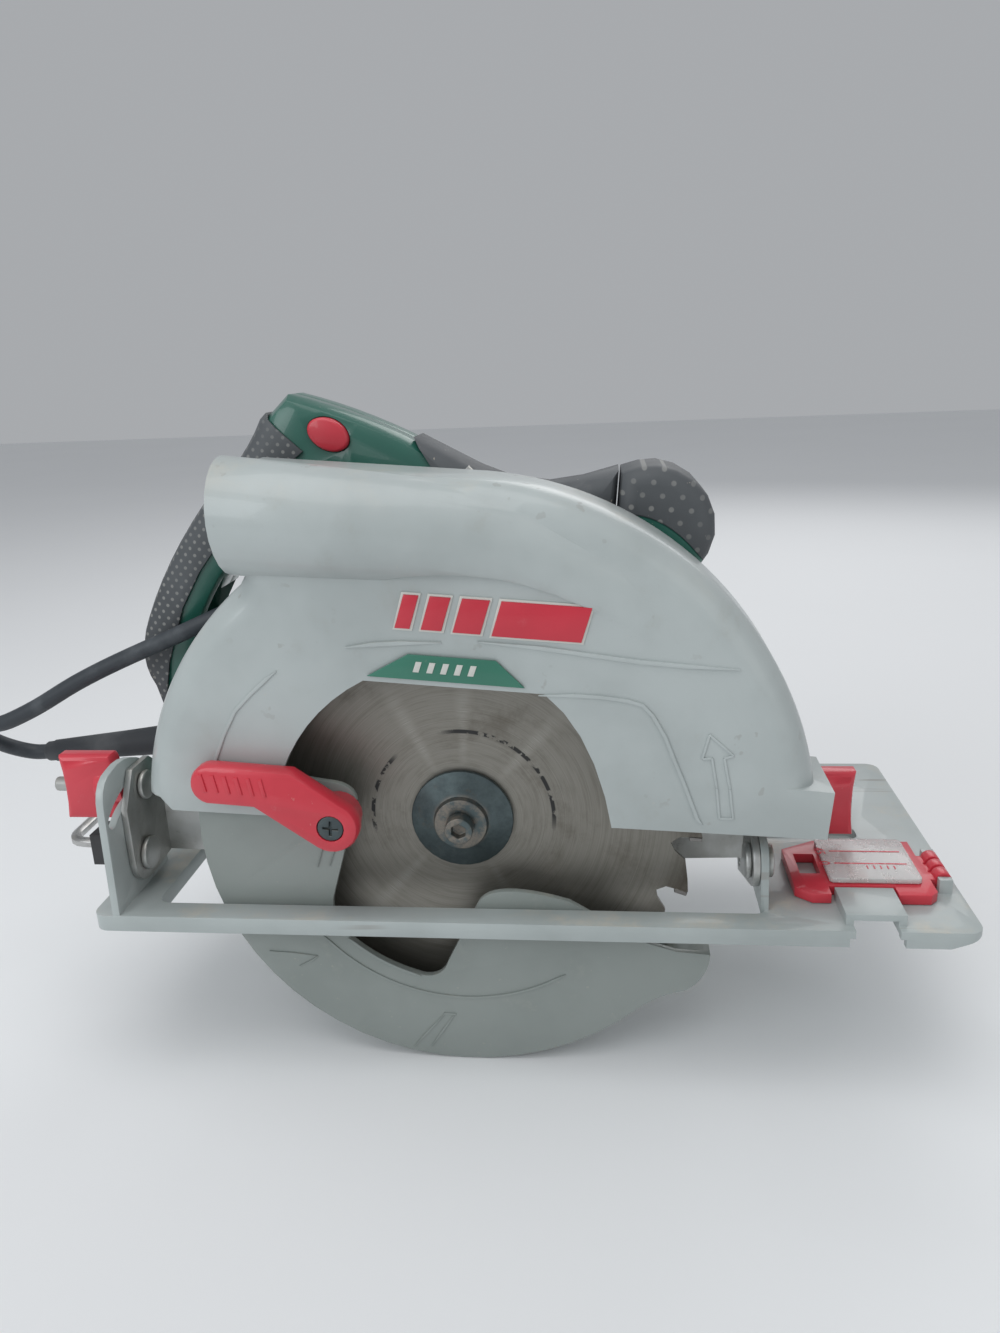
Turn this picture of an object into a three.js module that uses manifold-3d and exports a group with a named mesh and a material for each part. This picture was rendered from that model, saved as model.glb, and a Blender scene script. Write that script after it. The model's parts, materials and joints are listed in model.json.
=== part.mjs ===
// A hand-held circular saw for a 190 mm blade, built as an assembly of separate named pieces.
//
// Frame, in millimetres: +X is the cutting direction, +Y points from the blade towards the motor,
// +Z is up. The origin is the centre of the base plate's underside. The pieces are drawn in three
// groups: the shoe (base plate and bevel frame), the head (everything that turns with the depth
// setting, drawn level about the blade's axis and pitched as it is set), and the mains lead.

import * as THREE from 'three';
import { mergeVertices } from 'three/addons/utils/BufferGeometryUtils.js';
import Module from 'manifold-3d';

const wasm = await Module();
wasm.setup();

// ---------------------------------------------------------------- driving dimensions

const GAP = 0.3;                    // face gap between pieces that touch
const RUNNING = 0.25;               // radial clearance of a pin in its hole
const rad = THREE.MathUtils.degToRad;
const PITCH = rad(5);               // nose-down pitch of the head at this depth setting

// base plate (shoe)
const PLATE_LENGTH = 342;
const PLATE_WIDTH = 157;
const PLATE_HEIGHT = 6.7;
const SHEET = 2.5;                  // pressed sheet thickness
const RIM = 3;                      // turned-down edge
const BEAM_WIDTH = 11;              // narrow strip beside the blade
const SLOT_REAR = 23;               // plate behind the slot
const SLOT_AHEAD = 118;             // slot ahead of the arbor
const SLOT_WIDTH = 69;
const EAR = 3;                      // bevel ear thickness

// where the blade's axis crosses the blade's mid plane, from the plate's rear near corner
const ARBOR_FROM_REAR = 148;
const BLADE_FROM_EDGE = 29;
const ARBOR_HEIGHT = 38;

// bevel and depth pivots, from the blade's axis and mid plane
const BEVEL_Y = -4;
const BEVEL_Z = 22;
const REAR_ARM = 29;                // radius of the rear clamp bolt about the bevel axis
const REAR_BOLT = 80;               // its angle above the level, in degrees
const FRONT_ARM = 33;
const FRONT_BOLT = 20;
const BEVEL_RANGE = 45;
const RIVET_R = 4;
const WING_BOLT_R = 3;
const FRAME_SHEET = 2.5;
const DEPTH_X = 126;
const DEPTH_Z = 50;
const DEPTH_PIN_R = 4;
const QUADRANT_R = 165;
const QUADRANT_WIDTH = 15;

// blade and drive
const BLADE_R = 95;
const BLADE_BODY = 1.8;
const TEETH = 24;
const BORE_R = 10;
const FLANGE_R = 20.5;
const SPINDLE_R = 8;
const GEAR_MODULE = 1.1;
const GEAR_TEETH = 33;
const PINION_TEETH = 9;
const GEAR_FACE = 8;
const MOTOR_Z = GEAR_MODULE * (GEAR_TEETH + PINION_TEETH) / 2;

// guards
const WALL = 2.5;
const GUARD_R = 136;
const GUARD_REAR_R = 125;
const GUARD_TOP = 135.5;
const GUARD_FACE = -20;
const GUARD_BACK = 14;
const SHOULDER = 12;                // rounding between the face and the rim
const OUTLET_X = -88;               // rear end of the chip outlet
const OUTLET_Y = -12;
const OUTLET_Z = 117;
const OUTLET_WIDTH = 44;
const OUTLET_HEIGHT = 43;
const LOWER_R = 103.5;
const LOWER_FACE = -15.5;
const LOWER_BACK = 8.5;
const HUB_R = 24;
const LEVER_SWEEP_R = 103.4;        // the guard lever's tip passes within it

// motor and handle
const MOTOR_R = 44;
const MOTOR_WALL = 3;
const HOUSING_Y = 40;               // joint between gear housing and motor housing
const MOTOR_END = 104;
const HANDLE_NEAR = 28;             // the handle's side next to the guard
const HANDLE_WIDTH = 34;
const HANDLE_Y = HANDLE_NEAR + HANDLE_WIDTH / 2;     // split plane of the handle shells
const GRIP_SKIN = 1.6;

// mains lead
const CORD_R = 3.5;
const BOOT_R = 7.5;
const FLOOR = ARBOR_HEIGHT - LOWER_R;
const COIL_R = 40;
const COIL_TURNS_ACROSS = 3;
const COIL_LAYERS = 2;

// ---------------------------------------------------------------- solids

/** A manifold solid from a closed three.js geometry. */
function solid(geometry) {
  const bare = new THREE.BufferGeometry();
  const flat = geometry.index ? geometry.toNonIndexed() : geometry;
  bare.setAttribute('position', flat.getAttribute('position').clone());
  const merged = mergeVertices(bare, 1e-3);
  return new wasm.Manifold(new wasm.Mesh({
    numProp: 3,
    vertProperties: merged.attributes.position.array,
    triVerts: new Uint32Array(merged.index.array),
  }));
}

const polar = (r, degrees) => [r * Math.cos(rad(degrees)), r * Math.sin(rad(degrees))];
const join = (first, ...others) => others.reduce((sum, other) => sum.add(other), first);
const cut = (first, ...others) => others.reduce((rest, other) => rest.subtract(other), first);

/** A block between two corners. */
function box(x0, x1, y0, y1, z0, z1) {
  const block = new THREE.BoxGeometry(x1 - x0, y1 - y0, z1 - z0);
  return solid(block.translate((x0 + x1) / 2, (y0 + y1) / 2, (z0 + z1) / 2));
}

/** A round bar between two points, r1 at the far end where it tapers. */
function bar(from, to, r0, r1 = r0, sides = 20) {
  const a = new THREE.Vector3(...from);
  const b = new THREE.Vector3(...to);
  const along = b.clone().sub(a);
  const turn = new THREE.Quaternion().setFromUnitVectors(
    new THREE.Vector3(0, 1, 0), along.clone().normalize());
  const geometry = new THREE.CylinderGeometry(r1, r0, along.length(), sides);
  return solid(geometry.applyQuaternion(turn).translate(...a.add(b).multiplyScalar(0.5).toArray()));
}

const rodX = (x0, x1, y, z, r, sides) => bar([x0, y, z], [x1, y, z], r, r, sides);
const rodY = (y0, y1, x, z, r, sides) => bar([x, y0, z], [x, y1, z], r, r, sides);

/** A ring about a line along Y. */
function ringY(y0, y1, x, z, outer, inner, sides = 32) {
  return cut(rodY(y0, y1, x, z, outer, sides), rodY(y0 - 1, y1 + 1, x, z, inner, sides));
}

/** A body turned about a line along Y from [radius, y] pairs. */
function turned(profile, x = 0, z = 0, sides = 32) {
  const points = profile.map(([r, y]) => new THREE.Vector2(r, y));
  return solid(new THREE.LatheGeometry(points, sides).translate(x, 0, z));
}

/** A shape extruded from near to far, with a rounded edge of the given size at both ends. */
function extruded(shape, near, far, round = 0, grow = 0, curveSegments = 5, roundSteps = 2) {
  return new THREE.ExtrudeGeometry(shape, {
    depth: far - near - 2 * round,
    bevelEnabled: round > 0,
    bevelSize: round,
    bevelThickness: round,
    bevelOffset: grow - round,
    bevelSegments: roundSteps,
    curveSegments,
  }).translate(0, 0, round);
}

const AXIS_X = new THREE.Vector3(1, 0, 0);
const AXIS_Y = new THREE.Vector3(0, 1, 0);
const AXIS_Z = new THREE.Vector3(0, 0, 1);
const ALONG_Y = new THREE.Matrix4().makeBasis(AXIS_X, AXIS_Z, AXIS_Y.clone().negate());
const ALONG_X = new THREE.Matrix4().makeBasis(AXIS_Y, AXIS_Z, AXIS_X);

/** A slab of an (x, z) shape between two values of y. */
function slabY(shape, y0, y1, round = 0, grow = 0, curveSegments = 5, roundSteps = 2) {
  const geometry = extruded(shape, y0, y1, round, grow, curveSegments, roundSteps);
  return solid(geometry.applyMatrix4(ALONG_Y).translate(0, y1, 0));
}

/** A slab of a (y, z) shape between two values of x. */
function slabX(shape, x0, x1) {
  return solid(extruded(shape, x0, x1).applyMatrix4(ALONG_X).translate(x0, 0, 0));
}

/** A slab of an (x, y) shape between two values of z. */
function slabZ(shape, z0, z1, curveSegments = 3) {
  return solid(extruded(shape, z0, z1, 0, 0, curveSegments).translate(0, 0, z0));
}

/** A straight-sided shape through the given points. */
function polygon(...points) {
  return new THREE.Shape(points.map(([u, v]) => new THREE.Vector2(u, v)));
}

/** A rectangle with round corners. */
function roundRect(u0, u1, v0, v1, corner) {
  const r = Math.min(corner, 0.45 * (u1 - u0), 0.45 * (v1 - v0));
  const shape = new THREE.Shape();
  shape.moveTo(u0 + r, v0);
  shape.lineTo(u1 - r, v0);
  shape.absarc(u1 - r, v0 + r, r, -Math.PI / 2, 0);
  shape.lineTo(u1, v1 - r);
  shape.absarc(u1 - r, v1 - r, r, 0, Math.PI / 2);
  shape.lineTo(u0 + r, v1);
  shape.absarc(u0 + r, v1 - r, r, Math.PI / 2, Math.PI);
  shape.lineTo(u0, v0 + r);
  shape.absarc(u0 + r, v0 + r, r, Math.PI, 1.5 * Math.PI);
  return shape;
}

/** A slot bent round a centre, between two angles in degrees. */
function arcSlot(cu, cv, radius, halfWidth, from, to) {
  const a = rad(from);
  const b = rad(to);
  const end = (angle) => [cu + radius * Math.cos(angle), cv + radius * Math.sin(angle)];
  const shape = new THREE.Shape();
  shape.absarc(cu, cv, radius + halfWidth, a, b, false);
  shape.absarc(...end(b), halfWidth, b, b + Math.PI, false);
  shape.absarc(cu, cv, radius - halfWidth, b, a, true);
  shape.absarc(...end(a), halfWidth, a + Math.PI, a + 2 * Math.PI, false);
  return shape;
}

// ---------------------------------------------------------------- the scene and its colours

const saw = new THREE.Group();
const shoe = new THREE.Group();      // x and y from the blade's axis and mid plane, z from the sole
const head = new THREE.Group();      // from the blade's axis and mid plane, level with the head
const lead = new THREE.Group();      // as the shoe
for (const group of [shoe, head, lead]) {
  group.position.set(ARBOR_FROM_REAR - PLATE_LENGTH / 2, BLADE_FROM_EDGE - PLATE_WIDTH / 2, 0);
  saw.add(group);
}
head.position.z = ARBOR_HEIGHT;
head.rotation.y = PITCH;

const LOOK = {
  paint: { color: 0xc8d4d4, roughness: 0.35, metalness: 0.1 },
  guardGrey: { color: 0x828c88, roughness: 0.5, metalness: 0.1 },
  red: { color: 0xe14655, roughness: 0.45, metalness: 0 },
  green: { color: 0x1e5f50, roughness: 0.4, metalness: 0 },
  softGrip: { color: 0x555862, roughness: 0.8, metalness: 0 },
  black: { color: 0x25272a, roughness: 0.6, metalness: 0 },
  rubber: { color: 0x373e46, roughness: 0.7, metalness: 0 },
  zinc: { color: 0xb4b6b0, roughness: 0.4, metalness: 0.9 },
  steel: { color: 0x9a9a98, roughness: 0.3, metalness: 1 },
  blade: { color: 0x78736a, roughness: 0.35, metalness: 1 },
  darkSteel: { color: 0x465558, roughness: 0.45, metalness: 0.8 },
  alloy: { color: 0xa8acae, roughness: 0.5, metalness: 0.8 },
  copper: { color: 0xb06a3c, roughness: 0.4, metalness: 0.9 },
  clear: { color: 0xe8eef0, roughness: 0.1, metalness: 0, transparent: true, opacity: 0.4 },
};

/** Names a solid, gives it its look and hangs it in its group. */
function piece(group, name, look, body) {
  const mesh = body.getMesh();
  const geometry = new THREE.BufferGeometry();
  geometry.setAttribute('position', new THREE.BufferAttribute(mesh.vertProperties, 3));
  geometry.setIndex(new THREE.BufferAttribute(mesh.triVerts, 1));
  geometry.computeVertexNormals();
  const object = new THREE.Mesh(geometry, new THREE.MeshStandardMaterial(LOOK[look]));
  object.name = name;
  group.add(object);
}

// ---------------------------------------------------------------- base plate

const REAR_X = -ARBOR_FROM_REAR;
const FRONT_X = PLATE_LENGTH - ARBOR_FROM_REAR;
const NEAR_Y = -BLADE_FROM_EDGE;
const FAR_Y = PLATE_WIDTH - BLADE_FROM_EDGE;
const SLOT_X0 = REAR_X + SLOT_REAR;
const SLOT_X1 = SLOT_AHEAD;
const SLOT_Y0 = NEAR_Y + BEAM_WIDTH;
const SLOT_Y1 = NEAR_Y + SLOT_WIDTH;
const REAR_EAR_X = REAR_X + 9;
const FRONT_EAR_X = SLOT_X1 - 2.5;

/** Where a clamp bolt sits in (y, z), from its radius and angle about the bevel axis. */
function clampPoint(arm, angle) {
  const [dy, dz] = polar(arm, angle);
  return [BEVEL_Y + dy, BEVEL_Z + dz];
}

/** The ear that carries the rear end of the bevel axis; its clamp bolt slides in an arc slot. */
function rearEar() {
  const slot = arcSlot(BEVEL_Y, BEVEL_Z, REAR_ARM, WING_BOLT_R + RUNNING,
    REAR_BOLT - 3, REAR_BOLT + BEVEL_RANGE + 3);
  return cut(
    slabX(rearEarOutline(), REAR_EAR_X, REAR_EAR_X + EAR),
    slabX(slot, REAR_EAR_X - 1, REAR_EAR_X + EAR + 1),
    rodX(REAR_EAR_X - 1, REAR_EAR_X + EAR + 1, BEVEL_Y, BEVEL_Z, RIVET_R + GAP));
}

/** The ear that carries the front end; it holds its clamp bolt, and the frame has the slot. */
function frontEar() {
  const [y, z] = clampPoint(FRONT_ARM, FRONT_BOLT);
  return cut(
    slabX(frontEarOutline(), FRONT_EAR_X, FRONT_EAR_X + EAR),
    rodX(FRONT_EAR_X - 1, FRONT_EAR_X + EAR + 1, y, z, WING_BOLT_R + GAP),
    rodX(FRONT_EAR_X - 1, FRONT_EAR_X + EAR + 1, BEVEL_Y, BEVEL_Z, RIVET_R + GAP));
}

function rearEarOutline() {
  const shape = new THREE.Shape();
  shape.moveTo(NEAR_Y + 0.5, PLATE_HEIGHT - 1);
  shape.lineTo(NEAR_Y + 2, 50);
  shape.quadraticCurveTo(NEAR_Y + 2, 63, NEAR_Y + 13, 64);
  shape.quadraticCurveTo(BEVEL_Y, 67, BEVEL_Y + 14, 58);
  shape.lineTo(BEVEL_Y + 18, BEVEL_Z);
  shape.lineTo(BEVEL_Y + 22, PLATE_HEIGHT - 1);
  return shape;
}

function frontEarOutline() {
  const [boltY, boltZ] = clampPoint(FRONT_ARM, FRONT_BOLT);
  const shape = new THREE.Shape();
  shape.moveTo(BEVEL_Y - 12, PLATE_HEIGHT - 1);
  shape.lineTo(boltY + 11, PLATE_HEIGHT - 1);
  shape.lineTo(boltY + 7, boltZ);
  shape.absarc(boltY, boltZ, 7, 0, rad(110), false);
  shape.lineTo(BEVEL_Y + 4, BEVEL_Z + 10);
  shape.absarc(BEVEL_Y, BEVEL_Z, 10, rad(70), Math.PI, false);
  return shape;
}

function basePlate() {
  const outline = roundRect(REAR_X, FRONT_X, NEAR_Y, FAR_Y, 6);
  const window = roundRect(SLOT_X0, SLOT_X1, SLOT_Y0, SLOT_Y1, 5);
  const under = PLATE_HEIGHT - SHEET;
  const runnerY0 = SLOT_Y1 + 2;
  const runnerY1 = runnerY0 + 16;
  const channelX0 = REAR_X + 22;
  const channelX1 = FRONT_X - 28;
  const hollow = (x0, x1, y0, y1) => slabZ(roundRect(x0, x1, y0, y1, 3), -1, under);
  // the guide bar's channel runs under a raised bridge and out through the near rim
  const bridgeX0 = SLOT_X1 + 27;
  const bridgeX1 = bridgeX0 + 22;
  const bridgeY1 = NEAR_Y + 24;
  const tray = cut(
    slabZ(outline, 0, PLATE_HEIGHT),
    slabZ(window, -1, PLATE_HEIGHT + 1),
    hollow(REAR_X + RIM, SLOT_X0 - RIM, NEAR_Y + RIM, runnerY0),
    hollow(SLOT_X1 + RIM, FRONT_X - 14, NEAR_Y + RIM, runnerY0),
    hollow(SLOT_X0, SLOT_X1, NEAR_Y + RIM, SLOT_Y0 - RIM),
    hollow(REAR_X + RIM, FRONT_X - 14, runnerY1, FAR_Y - RIM),
    slabZ(roundRect(channelX0, channelX1, runnerY0 + SHEET, runnerY1 - SHEET, 4), SHEET, 20),
    slabZ(roundRect(channelX0, channelX1, FAR_Y - 42, FAR_Y - 26, 5), PLATE_HEIGHT - 1, 20),
    slabY(polygon([FRONT_X - 12, -0.01], [FRONT_X + 1, -0.01], [FRONT_X + 1, under + 0.5]),
      NEAR_Y - 1, FAR_Y + 1));
  const bridge = box(bridgeX0, bridgeX1, NEAR_Y + 4, bridgeY1, PLATE_HEIGHT - 1, PLATE_HEIGHT + 4.5);
  const barChannel = box(bridgeX0 + 3, bridgeX1 - 3, NEAR_Y - 1, bridgeY1 + 1,
    PLATE_HEIGHT - 4.5, PLATE_HEIGHT + 2);
  return join(
    cut(tray.add(bridge), barChannel,
      box(bridgeX0 + 1, bridgeX1 - 1, NEAR_Y - 1, NEAR_Y + RIM + 1, -1, 3.5)),
    rodY(SIGHT_Y0 + 9, SIGHT_Y1 - 9, SIGHT_PIN_X, SIGHT_PIN_Z, 1.5, 12),
    ...[SIGHT_Y0 + 9, SIGHT_Y1 - 12].map((y) =>
      box(SIGHT_PIN_X - 2.5, SIGHT_PIN_X + 2.5, y, y + 3, PLATE_HEIGHT - 1, SIGHT_PIN_Z + 2)),
    rearEar(),
    frontEar());
}

const SIGHT_X = SLOT_X1 + 12;
const SIGHT_Y0 = -10;
const SIGHT_Y1 = 34;
const SIGHT_Z = PLATE_HEIGHT + GAP;
const SIGHT_PIN_X = SIGHT_X + 58;
const SIGHT_PIN_Z = SIGHT_Z + 3.5;

piece(shoe, 'base_plate', 'paint', basePlate());

// ---------------------------------------------------------------- cut sight and hex key

function cutSightFrame() {
  const bridgeX = SIGHT_X + 14;
  const top = SIGHT_Z + 4;
  const body = slabZ(polygon([SIGHT_X, SIGHT_Y0 + 5], [SIGHT_X + 6, SIGHT_Y0],
    [SIGHT_PIN_X - 8, SIGHT_Y0], [SIGHT_PIN_X - 5, SIGHT_Y0 + 3], [SIGHT_PIN_X - 5, SIGHT_Y1],
    [SIGHT_X + 14, SIGHT_Y1], [SIGHT_X, SIGHT_Y1 - 8]), SIGHT_Z, top);
  const knuckleY0 = SIGHT_Y0 + 12.4;
  const knuckleY1 = SIGHT_Y1 - 12.4;
  const knuckle = join(
    box(SIGHT_PIN_X - 8, SIGHT_PIN_X, knuckleY0, knuckleY1, SIGHT_Z, top),
    rodY(knuckleY0, knuckleY1, SIGHT_PIN_X, SIGHT_PIN_Z, 3.3, 16));
  const grooves = [1, 2].map((i) => knuckleY0 + i * (knuckleY1 - knuckleY0) / 3).map((y) =>
    box(SIGHT_PIN_X - 4, SIGHT_PIN_X + 5, y - 0.8, y + 0.8, SIGHT_PIN_Z, top + 5));
  return cut(join(body, knuckle), ...grooves,
    slabZ(roundRect(SIGHT_X + 17, SIGHT_X + 45, 2, 28, 3), SIGHT_Z - 1, top + 2),
    box(SIGHT_X + 4, SIGHT_X + 12, 6, 22, SIGHT_Z - 1, top + 2),
    box(bridgeX - 1, bridgeX + 24, SIGHT_Y0 - 1, NEAR_Y + 24 + 1.5, SIGHT_Z - 1, top + 2),
    rodY(SIGHT_Y0, SIGHT_Y1, SIGHT_PIN_X, SIGHT_PIN_Z, 1.5 + RUNNING, 12));
}

function cutSightWindow() {
  const z = SIGHT_Z + 4 + GAP;
  return slabZ(roundRect(SIGHT_X + 14, SIGHT_X + 49, -2, 32, 2), z, z + 2);
}

piece(shoe, 'cut_sight_frame', 'red', cutSightFrame());
piece(shoe, 'cut_sight_window', 'clear', cutSightWindow());

const KEY_R = 2.5;
const KEY_Z = PLATE_HEIGHT + 11;

const KEY_Y = BEVEL_Y + 16;

function keyClip() {
  const x1 = REAR_EAR_X - GAP;
  return cut(
    box(x1 - 24, x1, KEY_Y - 7, KEY_Y + 7, KEY_Z - 7, KEY_Z + 7),
    rodX(x1 - 30, x1 - 4, KEY_Y, KEY_Z, KEY_R + GAP, 6),
    box(x1 - 30, x1 - 4, KEY_Y - 2.2, KEY_Y + 2.2, KEY_Z - 8, KEY_Z));
}

function hexKey() {
  const x1 = REAR_EAR_X - 6;
  const corners = [[0, 0], [-14, 0], [-24, 0], [-29, 1.5], [-32, 6], [-32.5, 14], [-32.5, 32]];
  const bend = new THREE.CatmullRomCurve3(
    corners.map(([dx, dy]) => new THREE.Vector3(x1 + dx, KEY_Y + dy, KEY_Z)));
  const section = polygon(...[0, 1, 2, 3, 4, 5].map((i) => polar(KEY_R, 60 * i)));
  return solid(new THREE.ExtrudeGeometry(section, { steps: 24, extrudePath: bend }));
}

piece(shoe, 'key_clip', 'black', keyClip());
piece(shoe, 'hex_key', 'steel', hexKey());

// ---------------------------------------------------------------- bevel frame

const REAR_WEB_X = REAR_EAR_X + EAR + GAP;
const FRONT_WEB_X = FRONT_EAR_X - GAP - FRAME_SHEET;
const RAIL_Y = GUARD_BACK + 2.5;
const RAIL_Z0 = 10;

function rearWebOutline() {
  const shape = new THREE.Shape();
  shape.absarc(BEVEL_Y, BEVEL_Z, 11, Math.PI, Math.PI * 1.5, false);
  shape.lineTo(RAIL_Y + FRAME_SHEET, BEVEL_Z - 9);
  shape.lineTo(RAIL_Y + FRAME_SHEET, BEVEL_Z + 30);
  shape.lineTo(BEVEL_Y + 13, BEVEL_Z + 38);
  shape.lineTo(BEVEL_Y - 2, BEVEL_Z + 38);
  shape.lineTo(BEVEL_Y - 11, BEVEL_Z + 24);
  return shape;
}

function frontWebOutline() {
  const outer = FRONT_ARM + WING_BOLT_R + 3.5;
  const shape = new THREE.Shape();
  shape.absarc(BEVEL_Y, BEVEL_Z, 10, rad(100), rad(260), false);
  shape.lineTo(...clampPoint(outer, -34));
  shape.absarc(BEVEL_Y, BEVEL_Z, outer, rad(-33), rad(28), false);
  shape.lineTo(RAIL_Y, BEVEL_Z + 16);
  return shape;
}

function tiltFrame() {
  const railEnd = RAIL_Y + FRAME_SHEET;
  const webEnd = FRONT_WEB_X + FRAME_SHEET;
  // the rail dips to a low neck where the gear housing passes over it, and ends in the lug
  // that stands over the front ear and carries the depth pivot
  const rail = polygon([REAR_WEB_X, BEVEL_Z - 9], [-42, RAIL_Z0], [-34, 1.5], [34, 1.5],
    [42, RAIL_Z0], [webEnd, BEVEL_Z - 10], [webEnd, DEPTH_Z - 7.5], [DEPTH_X + 6, DEPTH_Z - 7.5],
    [DEPTH_X + 9, DEPTH_Z], [DEPTH_X + 4, DEPTH_Z + 9], [DEPTH_X - 8, DEPTH_Z + 8],
    [FRONT_WEB_X - 8, DEPTH_Z - 6], [FRONT_WEB_X - 12, 27], [50, 25], [30, 6.2], [-30, 6.2],
    [-36, 15], [-44, 32], [-110, 36], [REAR_WEB_X, 50]);
  const flange = box(-33, 33, RAIL_Y, RAIL_Y + 7, 1.5, 1.5 + FRAME_SHEET);
  const [rearY, rearZ] = clampPoint(REAR_ARM, REAR_BOLT);
  const slot = arcSlot(BEVEL_Y, BEVEL_Z, FRONT_ARM, WING_BOLT_R + RUNNING,
    FRONT_BOLT - BEVEL_RANGE - 3, FRONT_BOLT + 3);
  return cut(
    join(slabY(rail, RAIL_Y, railEnd), flange,
      slabX(frontWebOutline(), FRONT_WEB_X, webEnd),
      slabX(rearWebOutline(), REAR_WEB_X, REAR_WEB_X + FRAME_SHEET)),
    slabX(slot, FRONT_WEB_X - 1, webEnd + 1),
    rodX(REAR_WEB_X - 1, REAR_WEB_X + FRAME_SHEET + 1, rearY, rearZ, WING_BOLT_R + GAP),
    rodX(REAR_WEB_X - 1, REAR_WEB_X + FRAME_SHEET + 1, BEVEL_Y, BEVEL_Z, RIVET_R + RUNNING),
    rodX(FRONT_WEB_X - 1, webEnd + 1, BEVEL_Y, BEVEL_Z, RIVET_R + RUNNING),
    rodY(RAIL_Y - 1, railEnd + 1, DEPTH_X, DEPTH_Z, DEPTH_PIN_R + RUNNING));
}

piece(shoe, 'tilt_frame', 'zinc', tiltFrame());

/** A round body about a line along X, from [radius, distance] pairs measured the given way. */
function turnedX(profile, x, direction, y, z, sides = 20) {
  const points = profile.map(([r, d]) => new THREE.Vector2(r, d));
  const geometry = new THREE.LatheGeometry(points, sides);
  return solid(geometry.rotateZ(-direction * Math.PI / 2).translate(x, y, z));
}

/** A pivot rivet from an ear's outer face, through the ear and the frame's web. */
function bevelRivet(x, direction) {
  const stack = EAR + GAP + FRAME_SHEET;
  return turnedX([[0, -2.5], [RIVET_R + 2.5, -2.5], [RIVET_R + 2.5, -GAP], [RIVET_R, -GAP],
    [RIVET_R, stack + GAP], [RIVET_R + 3, stack + GAP], [RIVET_R + 3, stack + 2.5],
    [0, stack + 2.5]], x, direction, BEVEL_Y, BEVEL_Z);
}

piece(shoe, 'rear_bevel_rivet', 'zinc', bevelRivet(REAR_EAR_X, 1));
piece(shoe, 'front_bevel_rivet', 'zinc', bevelRivet(FRONT_EAR_X + EAR, -1));

/** A cup-head bolt from inside the web, through the web and the ear, out to the wing knob. */
function wingBolt(x, direction, [y, z], length) {
  return turnedX([[0, -GAP - 2.5], [6, -GAP - 2], [6, -GAP], [WING_BOLT_R, -GAP],
    [WING_BOLT_R, length], [0, length]], x, direction, y, z, 16);
}

const REAR_KNOB = { neck: 4, wings: 24 };
const FRONT_KNOB = { neck: 16, wings: 24 };
const rearClamp = clampPoint(REAR_ARM, REAR_BOLT);
const frontClamp = clampPoint(FRONT_ARM, FRONT_BOLT);
const clampStack = FRAME_SHEET + EAR + 2 * GAP;
piece(shoe, 'rear_wing_bolt', 'zinc', wingBolt(REAR_WEB_X + FRAME_SHEET, -1, rearClamp,
  clampStack + REAR_KNOB.neck + REAR_KNOB.wings + 3));
piece(shoe, 'front_wing_bolt', 'zinc', wingBolt(FRONT_WEB_X, 1, frontClamp,
  clampStack + FRONT_KNOB.neck + FRONT_KNOB.wings - 3));

/** A wing knob: a round collar and two broad wings, with a hole for its bolt. */
function wingKnob(x, direction, [y, z], { neck, wings }, through) {
  const wing = new THREE.Shape();
  const half = wings / 2;
  wing.moveTo(-half, -5);
  wing.quadraticCurveTo(-half - 1, -11, -half + 1, -14);
  wing.lineTo(half - 1, -14);
  wing.quadraticCurveTo(half - 3, 0, half - 1, 14);
  wing.lineTo(-half + 1, 14);
  wing.quadraticCurveTo(-half - 1, 11, -half, 5);
  const grip = slabY(wing, -4.5, 4.5, 2, 0, 4)
    .scale([direction, 1, 1]).translate(x + direction * (neck + half), y, z);
  const collar = bar([x, y, z], [x + direction * (neck + 8), y, z], 8, 7, 20);
  const depth = neck + wings + (through ? 2 : -2);
  const hole = bar([x - direction, y, z], [x + direction * depth, y, z],
    WING_BOLT_R + GAP, WING_BOLT_R + GAP, 12);
  return cut(join(collar, grip), hole);
}

piece(shoe, 'rear_wing_knob', 'red',
  wingKnob(REAR_EAR_X - GAP, -1, rearClamp, REAR_KNOB, true));
piece(shoe, 'front_wing_knob', 'red',
  wingKnob(FRONT_EAR_X + EAR + GAP, 1, frontClamp, FRONT_KNOB, false));

// ---------------------------------------------------------------- depth stop

const QUADRANT_Y = RAIL_Y + FRAME_SHEET + GAP;
const CLAMP_ANGLE = 175;            // the clamp bolt, about the depth pivot
const LEVER_DEPTH_Y = QUADRANT_Y + FRAME_SHEET + GAP;

function depthQuadrant() {
  const band = new THREE.Shape();
  const outer = QUADRANT_R + QUADRANT_WIDTH / 2;
  const inner = QUADRANT_R - QUADRANT_WIDTH / 2;
  band.absarc(DEPTH_X, DEPTH_Z, outer, rad(134), rad(193), false);
  band.absarc(DEPTH_X, DEPTH_Z, inner, rad(193), rad(134), true);
  const slot = arcSlot(DEPTH_X, DEPTH_Z, QUADRANT_R, WING_BOLT_R + RUNNING, 137, 182);
  return cut(slabY(band, QUADRANT_Y, QUADRANT_Y + FRAME_SHEET, 0, 0, 9),
    slabY(slot, QUADRANT_Y - 1, QUADRANT_Y + FRAME_SHEET + 1, 0, 0, 9));
}

piece(shoe, 'depth_quadrant', 'steel', depthQuadrant());

function depthPivotPin() {
  return join(
    rodY(GUARD_FACE + 6, RAIL_Y + FRAME_SHEET + 3, DEPTH_X, DEPTH_Z, DEPTH_PIN_R),
    rodY(RAIL_Y + FRAME_SHEET + GAP, RAIL_Y + FRAME_SHEET + 4, DEPTH_X, DEPTH_Z, DEPTH_PIN_R + 4));
}

piece(shoe, 'depth_pivot_pin', 'zinc', depthPivotPin());

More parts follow.
